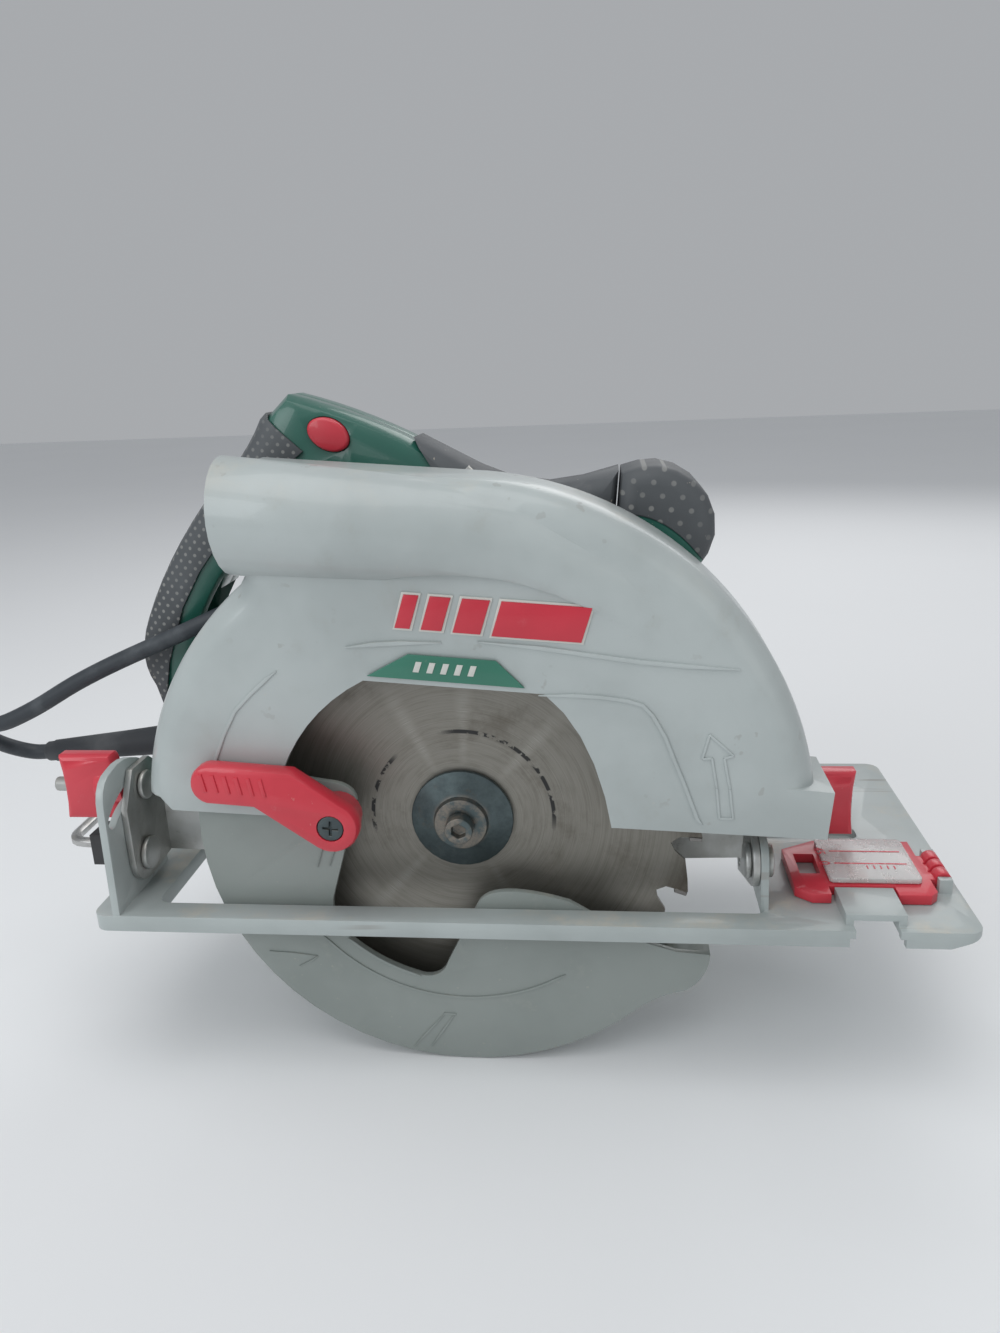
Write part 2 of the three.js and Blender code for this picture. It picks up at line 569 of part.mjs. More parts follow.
// From here on, points on the head are in the head's own frame.
/** A point of the shoe's (x, z) plane as the head sees it. */
function onHead(x, z) {
  const dz = z - ARBOR_HEIGHT;
  return [x * Math.cos(PITCH) - dz * Math.sin(PITCH), x * Math.sin(PITCH) + dz * Math.cos(PITCH)];
}
const [DEPTH_HX, DEPTH_HZ] = onHead(DEPTH_X, DEPTH_Z);
const [CLAMP_HX, CLAMP_HZ] = onHead(
  DEPTH_X + QUADRANT_R * Math.cos(rad(CLAMP_ANGLE)),
  DEPTH_Z + QUADRANT_R * Math.sin(rad(CLAMP_ANGLE)));

function depthClampBolt() {
  return join(
    rodY(GUARD_BACK + GAP, GUARD_BACK + 4, CLAMP_HX, CLAMP_HZ, 6, 16),
    rodY(GUARD_BACK + 1, LEVER_DEPTH_Y + 5.2, CLAMP_HX, CLAMP_HZ, WING_BOLT_R, 12));
}

function depthLever() {
  const y0 = LEVER_DEPTH_Y;
  const arm = new THREE.Shape();
  arm.absarc(0, 0, 8, rad(-60), rad(100), false);
  arm.lineTo(-50, 12);
  arm.quadraticCurveTo(-60, 10, -60, 4);
  arm.quadraticCurveTo(-59, -2, -52, -1);
  arm.lineTo(-6, -6);
  return cut(
    slabY(arm, y0, y0 + 4.6, 1.5, 0, 5).translate(CLAMP_HX, 0, CLAMP_HZ),
    rodY(y0 - 1, y0 + 6, CLAMP_HX, CLAMP_HZ, WING_BOLT_R + GAP, 12));
}

piece(head, 'depth_clamp_bolt', 'zinc', depthClampBolt());
piece(head, 'depth_lever', 'red', depthLever());

// ---------------------------------------------------------------- upper guard

/** The guard's side outline, drawn inset by a wall where its hollow is wanted. */
function guardOutline(inset) {
  const shape = new THREE.Shape();
  const rear = GUARD_REAR_R - inset;
  shape.moveTo(-rear, -25);
  shape.lineTo(-rear, 0);
  shape.absarc(0, 0, rear, rad(179), rad(133), true);
  shape.lineTo(-83.5 + inset, 95);
  shape.lineTo(-83.5 + inset, GUARD_TOP - inset);
  shape.lineTo(0, GUARD_TOP - inset);
  shape.absarc(0, 0, GUARD_TOP - inset, rad(89), rad(12), true);
  shape.lineTo(GUARD_R - inset, -25);
  return shape;
}

/** The arch in the face through which the blade's bolt is reached. */
function archOutline() {
  const shape = new THREE.Shape();
  shape.moveTo(-71, -30);
  shape.absarc(0, 0, 71, rad(180), rad(121), true);
  shape.lineTo(30, 61);
  shape.quadraticCurveTo(50, 47, 59, 8);
  shape.lineTo(60, -30);
  return shape;
}

/** Oval rings [x, z, slope, half width, half height] of the outlet, from its mouth to the front. */
const OUTLET_RINGS = [
  [OUTLET_X, OUTLET_Z, rad(6), OUTLET_WIDTH / 2, OUTLET_HEIGHT / 2],
  [-55, 116.6, rad(2), 20, 20.4],
  [-18, 115.8, rad(-4), 16.5, 19],
  [18, 111.5, rad(-12), 13, 17],
  [52, 99, rad(-27), 10, 14],
  [78, 79, rad(-42), 7.5, 10],
];

/** The tube that carries chips to the rear, drawn inset by a wall for its bore. */
function chipOutlet(inset) {
  const sides = 24;
  const points = [];
  OUTLET_RINGS.forEach(([x, z, slope, wide, high], i) => {
    const step = i === 0 ? -inset / 2 : 0;
    for (let k = 0; k < sides; k++) {
      const a = (2 * Math.PI * k) / sides;
      const up = (high - inset) * Math.sin(a);
      points.push(x + step - up * Math.sin(slope), OUTLET_Y + (wide - inset) * Math.cos(a),
        z + up * Math.cos(slope));
    }
  });
  const faces = [];
  for (let i = 0; i + 1 < OUTLET_RINGS.length; i++) {
    for (let k = 0; k < sides; k++) {
      const a = i * sides + k;
      const b = i * sides + (k + 1) % sides;
      faces.push(a, b, a + sides, b, b + sides, a + sides);
    }
  }
  const last = points.length / 3 - sides;
  for (let k = 1; k + 1 < sides; k++) faces.push(0, k + 1, k, last, last + k, last + k + 1);
  const geometry = new THREE.BufferGeometry();
  geometry.setAttribute('position', new THREE.Float32BufferAttribute(points, 3));
  geometry.setIndex(faces);
  return solid(geometry);
}

function upperGuard() {
  const shell = slabY(guardOutline(0), GUARD_FACE, GUARD_BACK + 20, SHOULDER, 0, 16, 5);
  const room = slabY(guardOutline(WALL), GUARD_FACE + WALL, GUARD_BACK + 14, SHOULDER - WALL, 0, 12)
    .intersect(box(-200, 200, -50, GUARD_BACK - 3, -60, 200));
  const outlet = cut(chipOutlet(0),
    rodY(GUARD_FACE - 20, GUARD_FACE + 0.5, 0, 0, LEVER_SWEEP_R, 60));
  const bore = cut(chipOutlet(WALL),
    rodY(GUARD_FACE - 20, GUARD_FACE + WALL + 0.5, 0, 0, LEVER_SWEEP_R + WALL, 60));
  const nose = box(DEPTH_HX - 16, GUARD_R + 1, GUARD_FACE, GUARD_BACK, 12, 32);
  const belowRear = polygon([-150, -60], [-40, -60], [-40, 2.6], [-74, 2.6], [-112, 1.3],
    [-117, 6], [-150, 6]);
  const belowFront = polygon([-41, -60], [170, -60], [170, 14.2], [104, 12], [60, 10.4], [-41, 2.6]);
  return cut(
    join(cut(join(shell, outlet), bore, room), nose),
    box(-250, 250, GUARD_BACK, 90, -80, 250),
    slabY(belowRear, -60, 60),
    slabY(belowFront, -60, 60),
    slabY(archOutline(), -50, GUARD_FACE + SHOULDER - 2),
    rodY(GUARD_BACK - 10, GUARD_BACK + 1, 0, 0, HUB_R + 2, 40),
    rodY(GUARD_FACE + 5, GUARD_BACK + 1, DEPTH_HX, DEPTH_HZ, DEPTH_PIN_R + RUNNING));
}

piece(head, 'upper_guard', 'paint', upperGuard());

function guardBadge() {
  const outline = polygon([-35, 63], [23, 63], [12, 72.5], [-20, 72.5]);
  return slabY(outline, GUARD_FACE - GAP - 0.8, GUARD_FACE - GAP);
}

piece(head, 'guard_badge', 'green', guardBadge());

// ---------------------------------------------------------------- lower guard

const LIP_R = 112;
const LEVER_HUB = [-46.4, 4.7];
const LEVER_Y0 = GUARD_FACE - 10.5;
const LEVER_Y1 = GUARD_FACE - 1.5;
const LEVER_SCREW_R = 2;

/** The rim's arc with the lip that flares from its front end. */
function lipCurve(shape) {
  shape.absarc(0, 0, LOWER_R, rad(168), rad(317), false);
  shape.quadraticCurveTo(...polar(105, 323), ...polar(LIP_R - 1, 327));
  shape.quadraticCurveTo(...polar(LIP_R + 3, 332), ...polar(LIP_R - 2, 337));
}

/** The near wall: a rear panel, a band below the blade and a front cheek, round a window. */
function lowerGuardNearWall() {
  const shape = new THREE.Shape();
  shape.moveTo(...polar(LOWER_R, 168));
  lipCurve(shape);
  shape.lineTo(88, -43);
  shape.lineTo(74, -40);
  shape.lineTo(45, -25.5);
  shape.quadraticCurveTo(14, -19, 9, -30);
  shape.lineTo(-2, -58);
  shape.quadraticCurveTo(-4, -66, -12, -65.5);
  shape.absarc(0, 0, 66.5, rad(260), rad(229), true);
  shape.quadraticCurveTo(-51, -42, -49, -32);
  shape.lineTo(-40, 10);
  shape.quadraticCurveTo(-41, 17, -52, 17);
  return shape;
}

function lowerGuardBackWall() {
  const shape = new THREE.Shape();
  shape.moveTo(...polar(LOWER_R, 168));
  shape.absarc(0, 0, LOWER_R, rad(168), rad(331), false);
  shape.lineTo(...polar(HUB_R + 9, -29));
  shape.absarc(0, 0, HUB_R + 9, rad(-29), rad(168), false);
  return shape;
}

function lowerGuardRim() {
  const shape = new THREE.Shape();
  shape.moveTo(...polar(LOWER_R, 168));
  lipCurve(shape);
  shape.lineTo(...polar(LIP_R - 6, 336));
  shape.lineTo(...polar(LOWER_R - WALL, 331));
  shape.absarc(0, 0, LOWER_R - WALL, rad(331), rad(168), true);
  return shape;
}

function lowerGuard() {
  const [hubX, hubZ] = LEVER_HUB;
  return cut(
    join(
      slabY(lowerGuardNearWall(), LOWER_FACE, LOWER_FACE + WALL, 0, 0, 12),
      slabY(lowerGuardRim(), LOWER_FACE, LOWER_BACK, 0, 0, 12),
      slabY(lowerGuardBackWall(), LOWER_BACK - WALL, LOWER_BACK, 0, 0, 12)),
    rodY(-30, LOWER_BACK + 1, 0, 0, HUB_R, 40),
    rodY(LOWER_FACE - 1, LOWER_FACE + WALL + 1, hubX, hubZ, LEVER_SCREW_R + GAP, 12));
}

piece(head, 'lower_guard', 'guardGrey', lowerGuard());

function guardLever() {
  const [hubX, hubZ] = LEVER_HUB;
  const arm = new THREE.Shape();
  arm.absarc(hubX, hubZ, 10.5, rad(-120), rad(50), false);
  arm.lineTo(-62, 26);
  arm.lineTo(-91, 25.8);
  arm.absarc(-92.7, 17.8, 8, rad(85), rad(260), false);
  arm.lineTo(-76, 10);
  return cut(
    join(slabY(arm, LEVER_Y0, LEVER_Y1, 2.5, 0, 6),
      rodY(LEVER_Y1 - 2, LOWER_FACE - GAP, hubX, hubZ, 9)),
    rodY(LEVER_Y0 - 1, LOWER_FACE, hubX, hubZ, LEVER_SCREW_R + GAP, 12),
    rodY(LEVER_Y0 - 1, LEVER_Y0 + 2.5, hubX, hubZ, 5.3, 20));
}

function leverScrew() {
  const [hubX, hubZ] = LEVER_HUB;
  const slotDepth = LEVER_Y0 + 1.6;
  return cut(
    join(rodY(LEVER_Y0 + 0.2, LEVER_Y0 + 2.2, hubX, hubZ, 5, 20),
      rodY(LEVER_Y0 + 2, LOWER_FACE + WALL, hubX, hubZ, LEVER_SCREW_R, 12)),
    box(hubX - 3, hubX + 3, LEVER_Y0 - 1, slotDepth, hubZ - 0.5, hubZ + 0.5),
    box(hubX - 0.5, hubX + 0.5, LEVER_Y0 - 1, slotDepth, hubZ - 3, hubZ + 3));
}

piece(head, 'guard_lever', 'red', guardLever());
piece(head, 'guard_lever_screw', 'darkSteel', leverScrew());
piece(head, 'guard_return_spring', 'steel',
  ringY(LOWER_BACK + GAP, GUARD_BACK - 3 - GAP, 0, 0, HUB_R + 3.5, HUB_R, 40));

// ---------------------------------------------------------------- blade and its fixing

function bladeOutline() {
  const step = 360 / TEETH;
  const tooth = [[0, 0], [2, 0.22], [5, 0.55], [10, 0.7], [12, 0.84], [9, 0.97]];
  return polygon(...Array.from({ length: TEETH }, (_, i) =>
    tooth.map(([depth, share]) => polar(BLADE_R - depth, (i + share) * step))).flat());
}

const blade = cut(slabY(bladeOutline(), -BLADE_BODY / 2, BLADE_BODY / 2),
  rodY(-5, 5, 0, 0, BORE_R + GAP));
piece(head, 'saw_blade', 'blade', blade);

const FLANGE_Y = BLADE_BODY / 2 + GAP;
const BOLT_R = 4;
piece(head, 'outer_flange', 'darkSteel', turned([
  [BOLT_R + GAP, -FLANGE_Y], [BOLT_R + GAP, -8.5], [10.5, -8.5], [10.8, -5.4],
  [FLANGE_R, -3.2], [FLANGE_R, -FLANGE_Y], [BOLT_R + GAP, -FLANGE_Y],
]));
piece(head, 'inner_flange', 'darkSteel', turned([
  [SPINDLE_R + GAP, 5], [SPINDLE_R + GAP, -BLADE_BODY / 2], [BORE_R, -BLADE_BODY / 2],
  [BORE_R, FLANGE_Y], [FLANGE_R, FLANGE_Y], [FLANGE_R, 5], [SPINDLE_R + GAP, 5],
]));

function bladeBolt() {
  const socket = rodY(-20, -11, 0, 0, 3.2, 6);
  return cut(join(rodY(-14.6, -8.5 - GAP, 0, 0, 5.5), rodY(-9, 12, 0, 0, BOLT_R, 16)), socket);
}
piece(head, 'blade_bolt', 'darkSteel', bladeBolt());

// ---------------------------------------------------------------- spindle, gears and bearings

const BEARING_Y0 = GUARD_BACK + 1;
const BEARING_Y1 = BEARING_Y0 + 8;
const GEAR_Y0 = BEARING_Y1 + 2;
const GEAR_Y1 = GEAR_Y0 + GEAR_FACE;
const TAIL_R = 5;

function spindle() {
  const end = HOUSING_Y + 5;
  return cut(turned([
    [0, FLANGE_Y - 0.5], [SPINDLE_R, FLANGE_Y - 0.5], [SPINDLE_R, GEAR_Y1 + 1], [TAIL_R, GEAR_Y1 + 1],
    [TAIL_R, end], [0, end],
  ], 0, 0, 24), rodY(-2, 14, 0, 0, BOLT_R + GAP, 16));
}

/** A spur gear's outline: trapezoid teeth with backlash, one tooth centred at the start angle. */
function gearOutline(teeth, start) {
  const pitch = GEAR_MODULE * teeth / 2;
  const step = 360 / teeth;
  const tooth = [[-1.35, -0.27], [0.85, -0.09], [0.85, 0.09], [-1.35, 0.27]];
  return polygon(...Array.from({ length: teeth }, (_, i) =>
    tooth.map(([rise, share]) => polar(pitch + rise, start + (i + share) * step))).flat());
}

piece(head, 'spindle', 'steel', spindle());
piece(head, 'spindle_gear', 'steel', cut(
  slabY(gearOutline(GEAR_TEETH, 90 + 180 / GEAR_TEETH), GEAR_Y0, GEAR_Y1),
  rodY(GEAR_Y0 - 1, GEAR_Y1 + 1, 0, 0, SPINDLE_R + GAP)));
piece(head, 'spindle_bearing', 'steel',
  ringY(BEARING_Y0, BEARING_Y1, 0, 0, 16, SPINDLE_R + GAP));

const SHAFT_R = 4;
const FAN_Y = HOUSING_Y + 8.5;
const CORE_Y0 = FAN_Y + 10;
const CORE_Y1 = CORE_Y0 + 30;
const COMMUTATOR_Y0 = CORE_Y1 + 4;
const COMMUTATOR_Y1 = COMMUTATOR_Y0 + 9;
const COMMUTATOR_R = 12;
const CORE_R = 24.5;

function rotorShaft() {
  return join(
    rodY(GEAR_Y0 - 0.5, MOTOR_END + 6, 0, MOTOR_Z, SHAFT_R - 0.3, 16),
    rodY(GEAR_Y1 + 2, MOTOR_END + 4, 0, MOTOR_Z, SHAFT_R, 16),
    slabY(gearOutline(PINION_TEETH, 270), GEAR_Y0 - 0.5, GEAR_Y1 + 0.5).translate(0, 0, MOTOR_Z));
}

function fan() {
  const blades = Array.from({ length: 9 }, (_, i) =>
    box(9, MOTOR_R - 8, -0.8, 5, -1, 1).rotate([0, 40 * i, 0]).translate(0, FAN_Y + 2, MOTOR_Z));
  return cut(
    join(rodY(FAN_Y, FAN_Y + 2, 0, MOTOR_Z, MOTOR_R - 7), rodY(FAN_Y, FAN_Y + 7, 0, MOTOR_Z, 10, 20),
      ...blades),
    rodY(FAN_Y - 1, FAN_Y + 9, 0, MOTOR_Z, SHAFT_R + GAP, 16));
}

piece(head, 'rotor_shaft', 'steel', rotorShaft());
piece(head, 'rotor_core', 'darkSteel',
  ringY(CORE_Y0, CORE_Y1, 0, MOTOR_Z, CORE_R, SHAFT_R + GAP));
piece(head, 'commutator', 'copper',
  ringY(COMMUTATOR_Y0, COMMUTATOR_Y1, 0, MOTOR_Z, COMMUTATOR_R, SHAFT_R + GAP, 24));
piece(head, 'motor_fan', 'black', fan());
piece(head, 'rotor_bearing_front', 'steel',
  ringY(HOUSING_Y + 0.6, HOUSING_Y + 6, 0, MOTOR_Z, 10, SHAFT_R + GAP, 24));
piece(head, 'rotor_bearing_rear', 'steel',
  ringY(MOTOR_END + 0.6, MOTOR_END + 5, 0, MOTOR_Z, 8, SHAFT_R + GAP, 24));

// ---------------------------------------------------------------- housings and stator

/** Two round ends joined by their tangents, one about the spindle and one about the motor. */
function doubleRound(lower, upper) {
  const shape = new THREE.Shape();
  shape.absarc(0, 0, lower, Math.PI, 2 * Math.PI, false);
  shape.lineTo(upper, MOTOR_Z);
  shape.absarc(0, MOTOR_Z, upper, 0, Math.PI, false);
  return shape;
}

function gearHousing() {
  const bearingFloor = BEARING_Y1 + GAP;
  return cut(
    join(
      rodY(LOWER_BACK - 3, GUARD_BACK + 2, 0, 0, HUB_R - RUNNING, 40),
      slabY(doubleRound(22.5, 25), GUARD_BACK + GAP, HOUSING_Y, 0, 0, 9),
      rodX(12, LOCK_BOSS_X, LOCK_Y, LOCK_Z, LOCK_R + 3, 24),
      rodY(HOUSING_Y - 4, HOUSING_Y, 0, MOTOR_Z, MOTOR_R + 1, 40)),
    rodY(0, 15, 0, 0, FLANGE_R + 1),
    rodY(14, bearingFloor, 0, 0, 16 + GAP, 32),
    rodY(bearingFloor - 1, bearingFloor + 3, 0, 0, SPINDLE_R + 1.5),
    rodY(bearingFloor + 1, HOUSING_Y + 1, 0, 0, 20.3, 32),
    rodY(bearingFloor + 1, HOUSING_Y + 1, 0, MOTOR_Z, 9, 20),
    rodX(10, LOCK_BOSS_X + 1, LOCK_Y, LOCK_Z, LOCK_R + RUNNING, 20));
}

// the spindle lock button presses a blunt pin between the large gear's teeth
const LOCK_Y = (GEAR_Y0 + GEAR_Y1) / 2;
const LOCK_Z = 2;
const LOCK_R = 4.5;
const LOCK_BOSS_X = 28;
const LOCK_TRAVEL = 1.4;

function motorHousing() {
  const front = HOUSING_Y + GAP;
  const shell = cut(
    rodY(front, MOTOR_END, 0, MOTOR_Z, MOTOR_R, 40),
    rodY(front + 6.4, MOTOR_END + 1, 0, MOTOR_Z, MOTOR_R - MOTOR_WALL, 40),
    rodY(front - 1, front + 8, 0, MOTOR_Z, 10 + GAP, 24),
    rodY(front - 1, front + 8, 0, 0, TAIL_R + RUNNING, 20));
  const capHoles = [-1, 1].map((side) =>
    rodX(side * (MOTOR_R - 12), side * (MOTOR_R + 5), BRUSH_Y, MOTOR_Z, BRUSH_CAP_R + GAP, 20));
  const vents = [-40, -15, 15, 40].map((angle) =>
    box(-2, 2, FAN_Y, FAN_Y + 8, MOTOR_R - 8, MOTOR_R + 2).rotate([0, 180 + angle, 0])
      .translate(0, 0, MOTOR_Z));
  return cut(shell, ...capHoles, ...vents);
}

const BRUSH_Y = (COMMUTATOR_Y0 + COMMUTATOR_Y1) / 2;
const BRUSH_CAP_R = 6;

function endCap() {
  const end = MOTOR_END + 12;
  const grille = [-2, -1, 0, 1, 2].flatMap((i) => [-1, 1].map((side) =>
    box(12, 36 - 3 * Math.abs(i), end - 4, end + 1, 9 * i - 2, 9 * i + 2)
      .scale([side, 1, 1]).translate(0, 0, MOTOR_Z)));
  return cut(
    turned([[0, end], [MOTOR_R - 4, end], [MOTOR_R, end - 4], [MOTOR_R, MOTOR_END + GAP],
      [MOTOR_R - MOTOR_WALL, MOTOR_END + GAP], [MOTOR_R - MOTOR_WALL, end - 3], [11, end - 3],
      [11, MOTOR_END + GAP], [8 + GAP, MOTOR_END + GAP], [8 + GAP, MOTOR_END + 6], [0, MOTOR_END + 6],
    ].reverse(), 0, MOTOR_Z, 40),
    ...grille,
    rodY(MOTOR_END + 4, MOTOR_END + 8, 0, MOTOR_Z, SHAFT_R + GAP, 16));
}

piece(head, 'gear_housing', 'alloy', gearHousing());
piece(head, 'motor_housing', 'green', motorHousing());
piece(head, 'motor_end_cap', 'black', endCap());
piece(head, 'stator', 'darkSteel',
  ringY(CORE_Y0 - 1, CORE_Y1 + 1, 0, MOTOR_Z, MOTOR_R - MOTOR_WALL - GAP, CORE_R + 0.8, 36));

for (const [side, name] of [[-1, 'rear'], [1, 'front']]) {
  const near = side * (COMMUTATOR_R + GAP);
  const capInner = side * (MOTOR_R - 8);
  piece(head, `carbon_brush_${name}`, 'black',
    box(Math.min(near, capInner - side * GAP), Math.max(near, capInner - side * GAP),
      BRUSH_Y - 3, BRUSH_Y + 3, MOTOR_Z - 4, MOTOR_Z + 4));
  piece(head, `brush_cap_${name}`, 'black',
    cut(rodX(capInner, side * (MOTOR_R + 1.5), BRUSH_Y, MOTOR_Z, BRUSH_CAP_R, 20),
      box(side > 0 ? MOTOR_R : -MOTOR_R - 3, side > 0 ? MOTOR_R + 3 : -MOTOR_R,
        BRUSH_Y - 5, BRUSH_Y + 5, MOTOR_Z - 0.8, MOTOR_Z + 0.8)));
}

piece(head, 'spindle_lock_button', 'black', join(
  rodX(19.3 + LOCK_TRAVEL, LOCK_BOSS_X + LOCK_TRAVEL + 2, LOCK_Y, LOCK_Z, LOCK_R, 20),
  rodX(LOCK_BOSS_X + LOCK_TRAVEL + 0.5, LOCK_BOSS_X + LOCK_TRAVEL + 4, LOCK_Y, LOCK_Z,
    LOCK_R + 1.8, 20)));

// ---------------------------------------------------------------- handle

const KNOB_X = 50 + GRIP_SKIN + 2 * GAP;     // the front knob's flat seat on the handle

/** The handle's side outline with its hand opening. */
function handleOutline() {
  const shape = new THREE.Shape();
  shape.moveTo(50, 58);
  shape.lineTo(50, 134.5);
  shape.lineTo(38, 130);
  shape.lineTo(24, 127);
  shape.lineTo(8, 128);
  shape.lineTo(-5, 132);
  shape.lineTo(-35, 145);
  shape.quadraticCurveTo(-58, 154, -80, 158);
  shape.lineTo(-90, 147);
  shape.quadraticCurveTo(-96, 132, -114, 113);
  shape.quadraticCurveTo(-132, 88, -141, 62);
  shape.quadraticCurveTo(-147, 46, -139, 34);
  shape.lineTo(-133, 16);
  shape.lineTo(-131, -5);
  shape.quadraticCurveTo(-110, -10, -80, -8);
  shape.lineTo(-30, -10);
  shape.lineTo(30, 0);
  const opening = new THREE.Path();
  opening.moveTo(-58, 112);
  opening.quadraticCurveTo(-74, 126, -88, 112);
  opening.lineTo(-108, 82);
  opening.quadraticCurveTo(-120, 62, -119, 48);
  opening.quadraticCurveTo(-117, 24, -98, 20);
  opening.quadraticCurveTo(-62, 20, -58, 40);
  shape.holes.push(opening);
  return shape;
}

const HANDLE_Y0 = HANDLE_Y - HANDLE_WIDTH / 2;
const HANDLE_Y1 = HANDLE_Y + HANDLE_WIDTH / 2;
const BUTTON = [-62, 144];
const TRIGGER_Z = 96;
const BOOT_START = [-122, 6.6];
const BOOT_END = [-200, -8.4];

/** An oval slab across the handle, as the lock-off button is, grown all round by a margin. */
function buttonOval(margin, y0, y1) {
  const shape = new THREE.Shape();
  shape.absellipse(...BUTTON, 8.6 + margin, 6 + margin, 0, 2 * Math.PI, false, rad(-22));
  return slabY(shape, y0, y1, 0, 0, 12);
}

/** Room that the handle shells leave for the motor, the gear housing and what they hold. */
function handleRoom() {
  const [bootX, bootZ] = BOOT_START;
  return [
    rodY(HOUSING_Y - 4 - GAP, 80, 0, MOTOR_Z, MOTOR_R + 1 + GAP, 40),
    box(15, 60, 10, HOUSING_Y, -40, 14),
    slabY(doubleRound(22.5 + GAP, 25 + GAP), 10, HOUSING_Y, 0, 0, 9),
    box(-20, 20, 10, HOUSING_Y, -40, MOTOR_Z),
    box(-60, 60, HOUSING_Y - 4 - GAP, 80, -60, 0),
    buttonOval(GAP, HANDLE_Y0 - 2, HANDLE_Y1 + 2),
    box(-112, -84, HANDLE_Y - 8, HANDLE_Y + 8, TRIGGER_Z - 13, TRIGGER_Z + 13),
    slabY(polygon([-129, 50], [-121, 50], [-108, 84], [-86, 116], [-72, 128], [-82, 146],
      [-100, 124], [-126, 84]), HANDLE_Y - 12, HANDLE_Y + 12),
    slabY(polygon([-48, 74], [42, 78], [42, 112], [0, 116], [-48, 132]),
      HANDLE_Y - 13, HANDLE_Y + 13),
    slabY(polygon([-127, 30], [-127, -1], [-70, -3], [-70, 14], [-112, 16]),
      HANDLE_Y - 12, HANDLE_Y + 12),
    bar([bootX + 4, HANDLE_Y, bootZ + 1], [BOOT_END[0], HANDLE_Y, BOOT_END[1]],
      BOOT_R + GAP, BOOT_R + GAP, 20),
  ];
}

const handleBody = cut(slabY(handleOutline(), HANDLE_Y0, HANDLE_Y1, 7, 0, 6), ...handleRoom());
const SCREWS = [[-124, 40], [24, 121]];
const screwHoles = SCREWS.map(([x, z]) => rodY(HANDLE_Y - 9, HANDLE_Y1 + 5, x, z, 2.3, 12));
const screwSinks = SCREWS.map(([x, z]) => rodY(HANDLE_Y1 - 4, HANDLE_Y1 + 5, x, z, 4.3, 16));
piece(head, 'handle_shell_right', 'green', cut(
  handleBody.intersect(box(-200, 200, 0, HANDLE_Y - GAP / 2, -100, 200)), ...screwHoles));
piece(head, 'handle_shell_left', 'green', cut(
  handleBody.intersect(box(-200, 200, HANDLE_Y + GAP / 2, 100, -100, 200)),
  ...screwHoles, ...screwSinks));
SCREWS.forEach(([x, z], i) => piece(head, `handle_screw_${i + 1}`, 'darkSteel', join(
  rodY(HANDLE_Y - 7, HANDLE_Y1 - 3, x, z, 2, 12),
  rodY(HANDLE_Y1 - 3.7, HANDLE_Y1 - 1.5, x, z, 4, 16))));

/** A soft skin over the handle where the given outline covers it. */
function softSkin(region) {
  const skin = cut(
    slabY(handleOutline(), HANDLE_Y0 - GRIP_SKIN, HANDLE_Y1 + GRIP_SKIN, 8, GRIP_SKIN, 6),
    slabY(handleOutline(), HANDLE_Y0 - GAP, HANDLE_Y1 + GAP, 7, GAP, 6),
    buttonOval(1, HANDLE_Y0 - 5, HANDLE_Y1 + 5));
  return skin.intersect(slabY(region, 0, 100));
}

const [BOOT_X, BOOT_Z] = BOOT_START;
piece(head, 'rear_grip', 'softGrip', cut(
  softSkin(polygon([-96, 160], [-88, 149.5], [-72, 137], [-80, 130], [-98, 112], [-116, 86],
    [-124, 70], [-131, 46], [-134, 24], [-170, 24], [-170, 160])),
  ...SCREWS.map(([x, z]) => rodY(HANDLE_Y1 - 4, HANDLE_Y1 + 5, x, z, 5, 16))));
piece(head, 'top_grip', 'softGrip', cut(
  softSkin(polygon([-38, 152], [-31, 146], [-25.5, 139.5], [-19, 131], [-14, 118], [60, 118],
    [60, 180], [-38, 180])),
  ...SCREWS.map(([x, z]) => rodY(HANDLE_Y1 - 4, HANDLE_Y1 + 5, x, z, 5, 16))));

/** The front knob rises out of the handle's line and hangs down over the motor. */
function frontKnob() {
  const outline = polygon([KNOB_X, 70], [KNOB_X, 136], [59, 138.4], [66, 139.4], [73.5, 138],
    [80.5, 134.4], [86, 129], [89.4, 122], [90.4, 114], [88.6, 106.5], [84.6, 99.5], [80, 92],
    [75, 80], [73, 70]);
  return slabY(outline, HANDLE_Y - 20, HANDLE_Y + 20, 7, 0, 6, 4);
}

piece(head, 'front_knob', 'softGrip', frontKnob());

function triggerBody() {
  const outline = polygon([-107, TRIGGER_Z - 11], [-98, TRIGGER_Z - 11], [-91, TRIGGER_Z],
    [-87, TRIGGER_Z + 11], [-104, TRIGGER_Z + 11]);
  return slabY(outline, HANDLE_Y - 7.5, HANDLE_Y + 7.5, 1.5);
}

piece(head, 'trigger', 'black', triggerBody());
piece(head, 'switch_body', 'black',
  box(-93, -84.5, HANDLE_Y - 10, HANDLE_Y + 10, 119.5, 131));
piece(head, 'lock_off_button', 'red', buttonOval(0, HANDLE_Y0 - 2, HANDLE_Y1 + 2));

// ---------------------------------------------------------------- mains lead

/** The rubber sleeve where the cord leaves the handle, tapering to the cord. */
function cordBoot() {
  const [x1, z1] = BOOT_END;
  return bar([BOOT_X + 2, HANDLE_Y, BOOT_Z + 0.4], [x1, HANDLE_Y, z1], BOOT_R, 4.6, 16);
}

piece(head, 'cord_boot', 'rubber', cordBoot());

/** A tube along a smooth run of points. */
function tube(points, steps) {
  const run = new THREE.CatmullRomCurve3(points.map((p) => new THREE.Vector3(...p)), false,
    'centripetal');
  const section = polygon(...Array.from({ length: 8 }, (_, i) => polar(CORD_R, 45 * i)));
  return solid(new THREE.ExtrudeGeometry(section, { steps, extrudePath: run }));
}

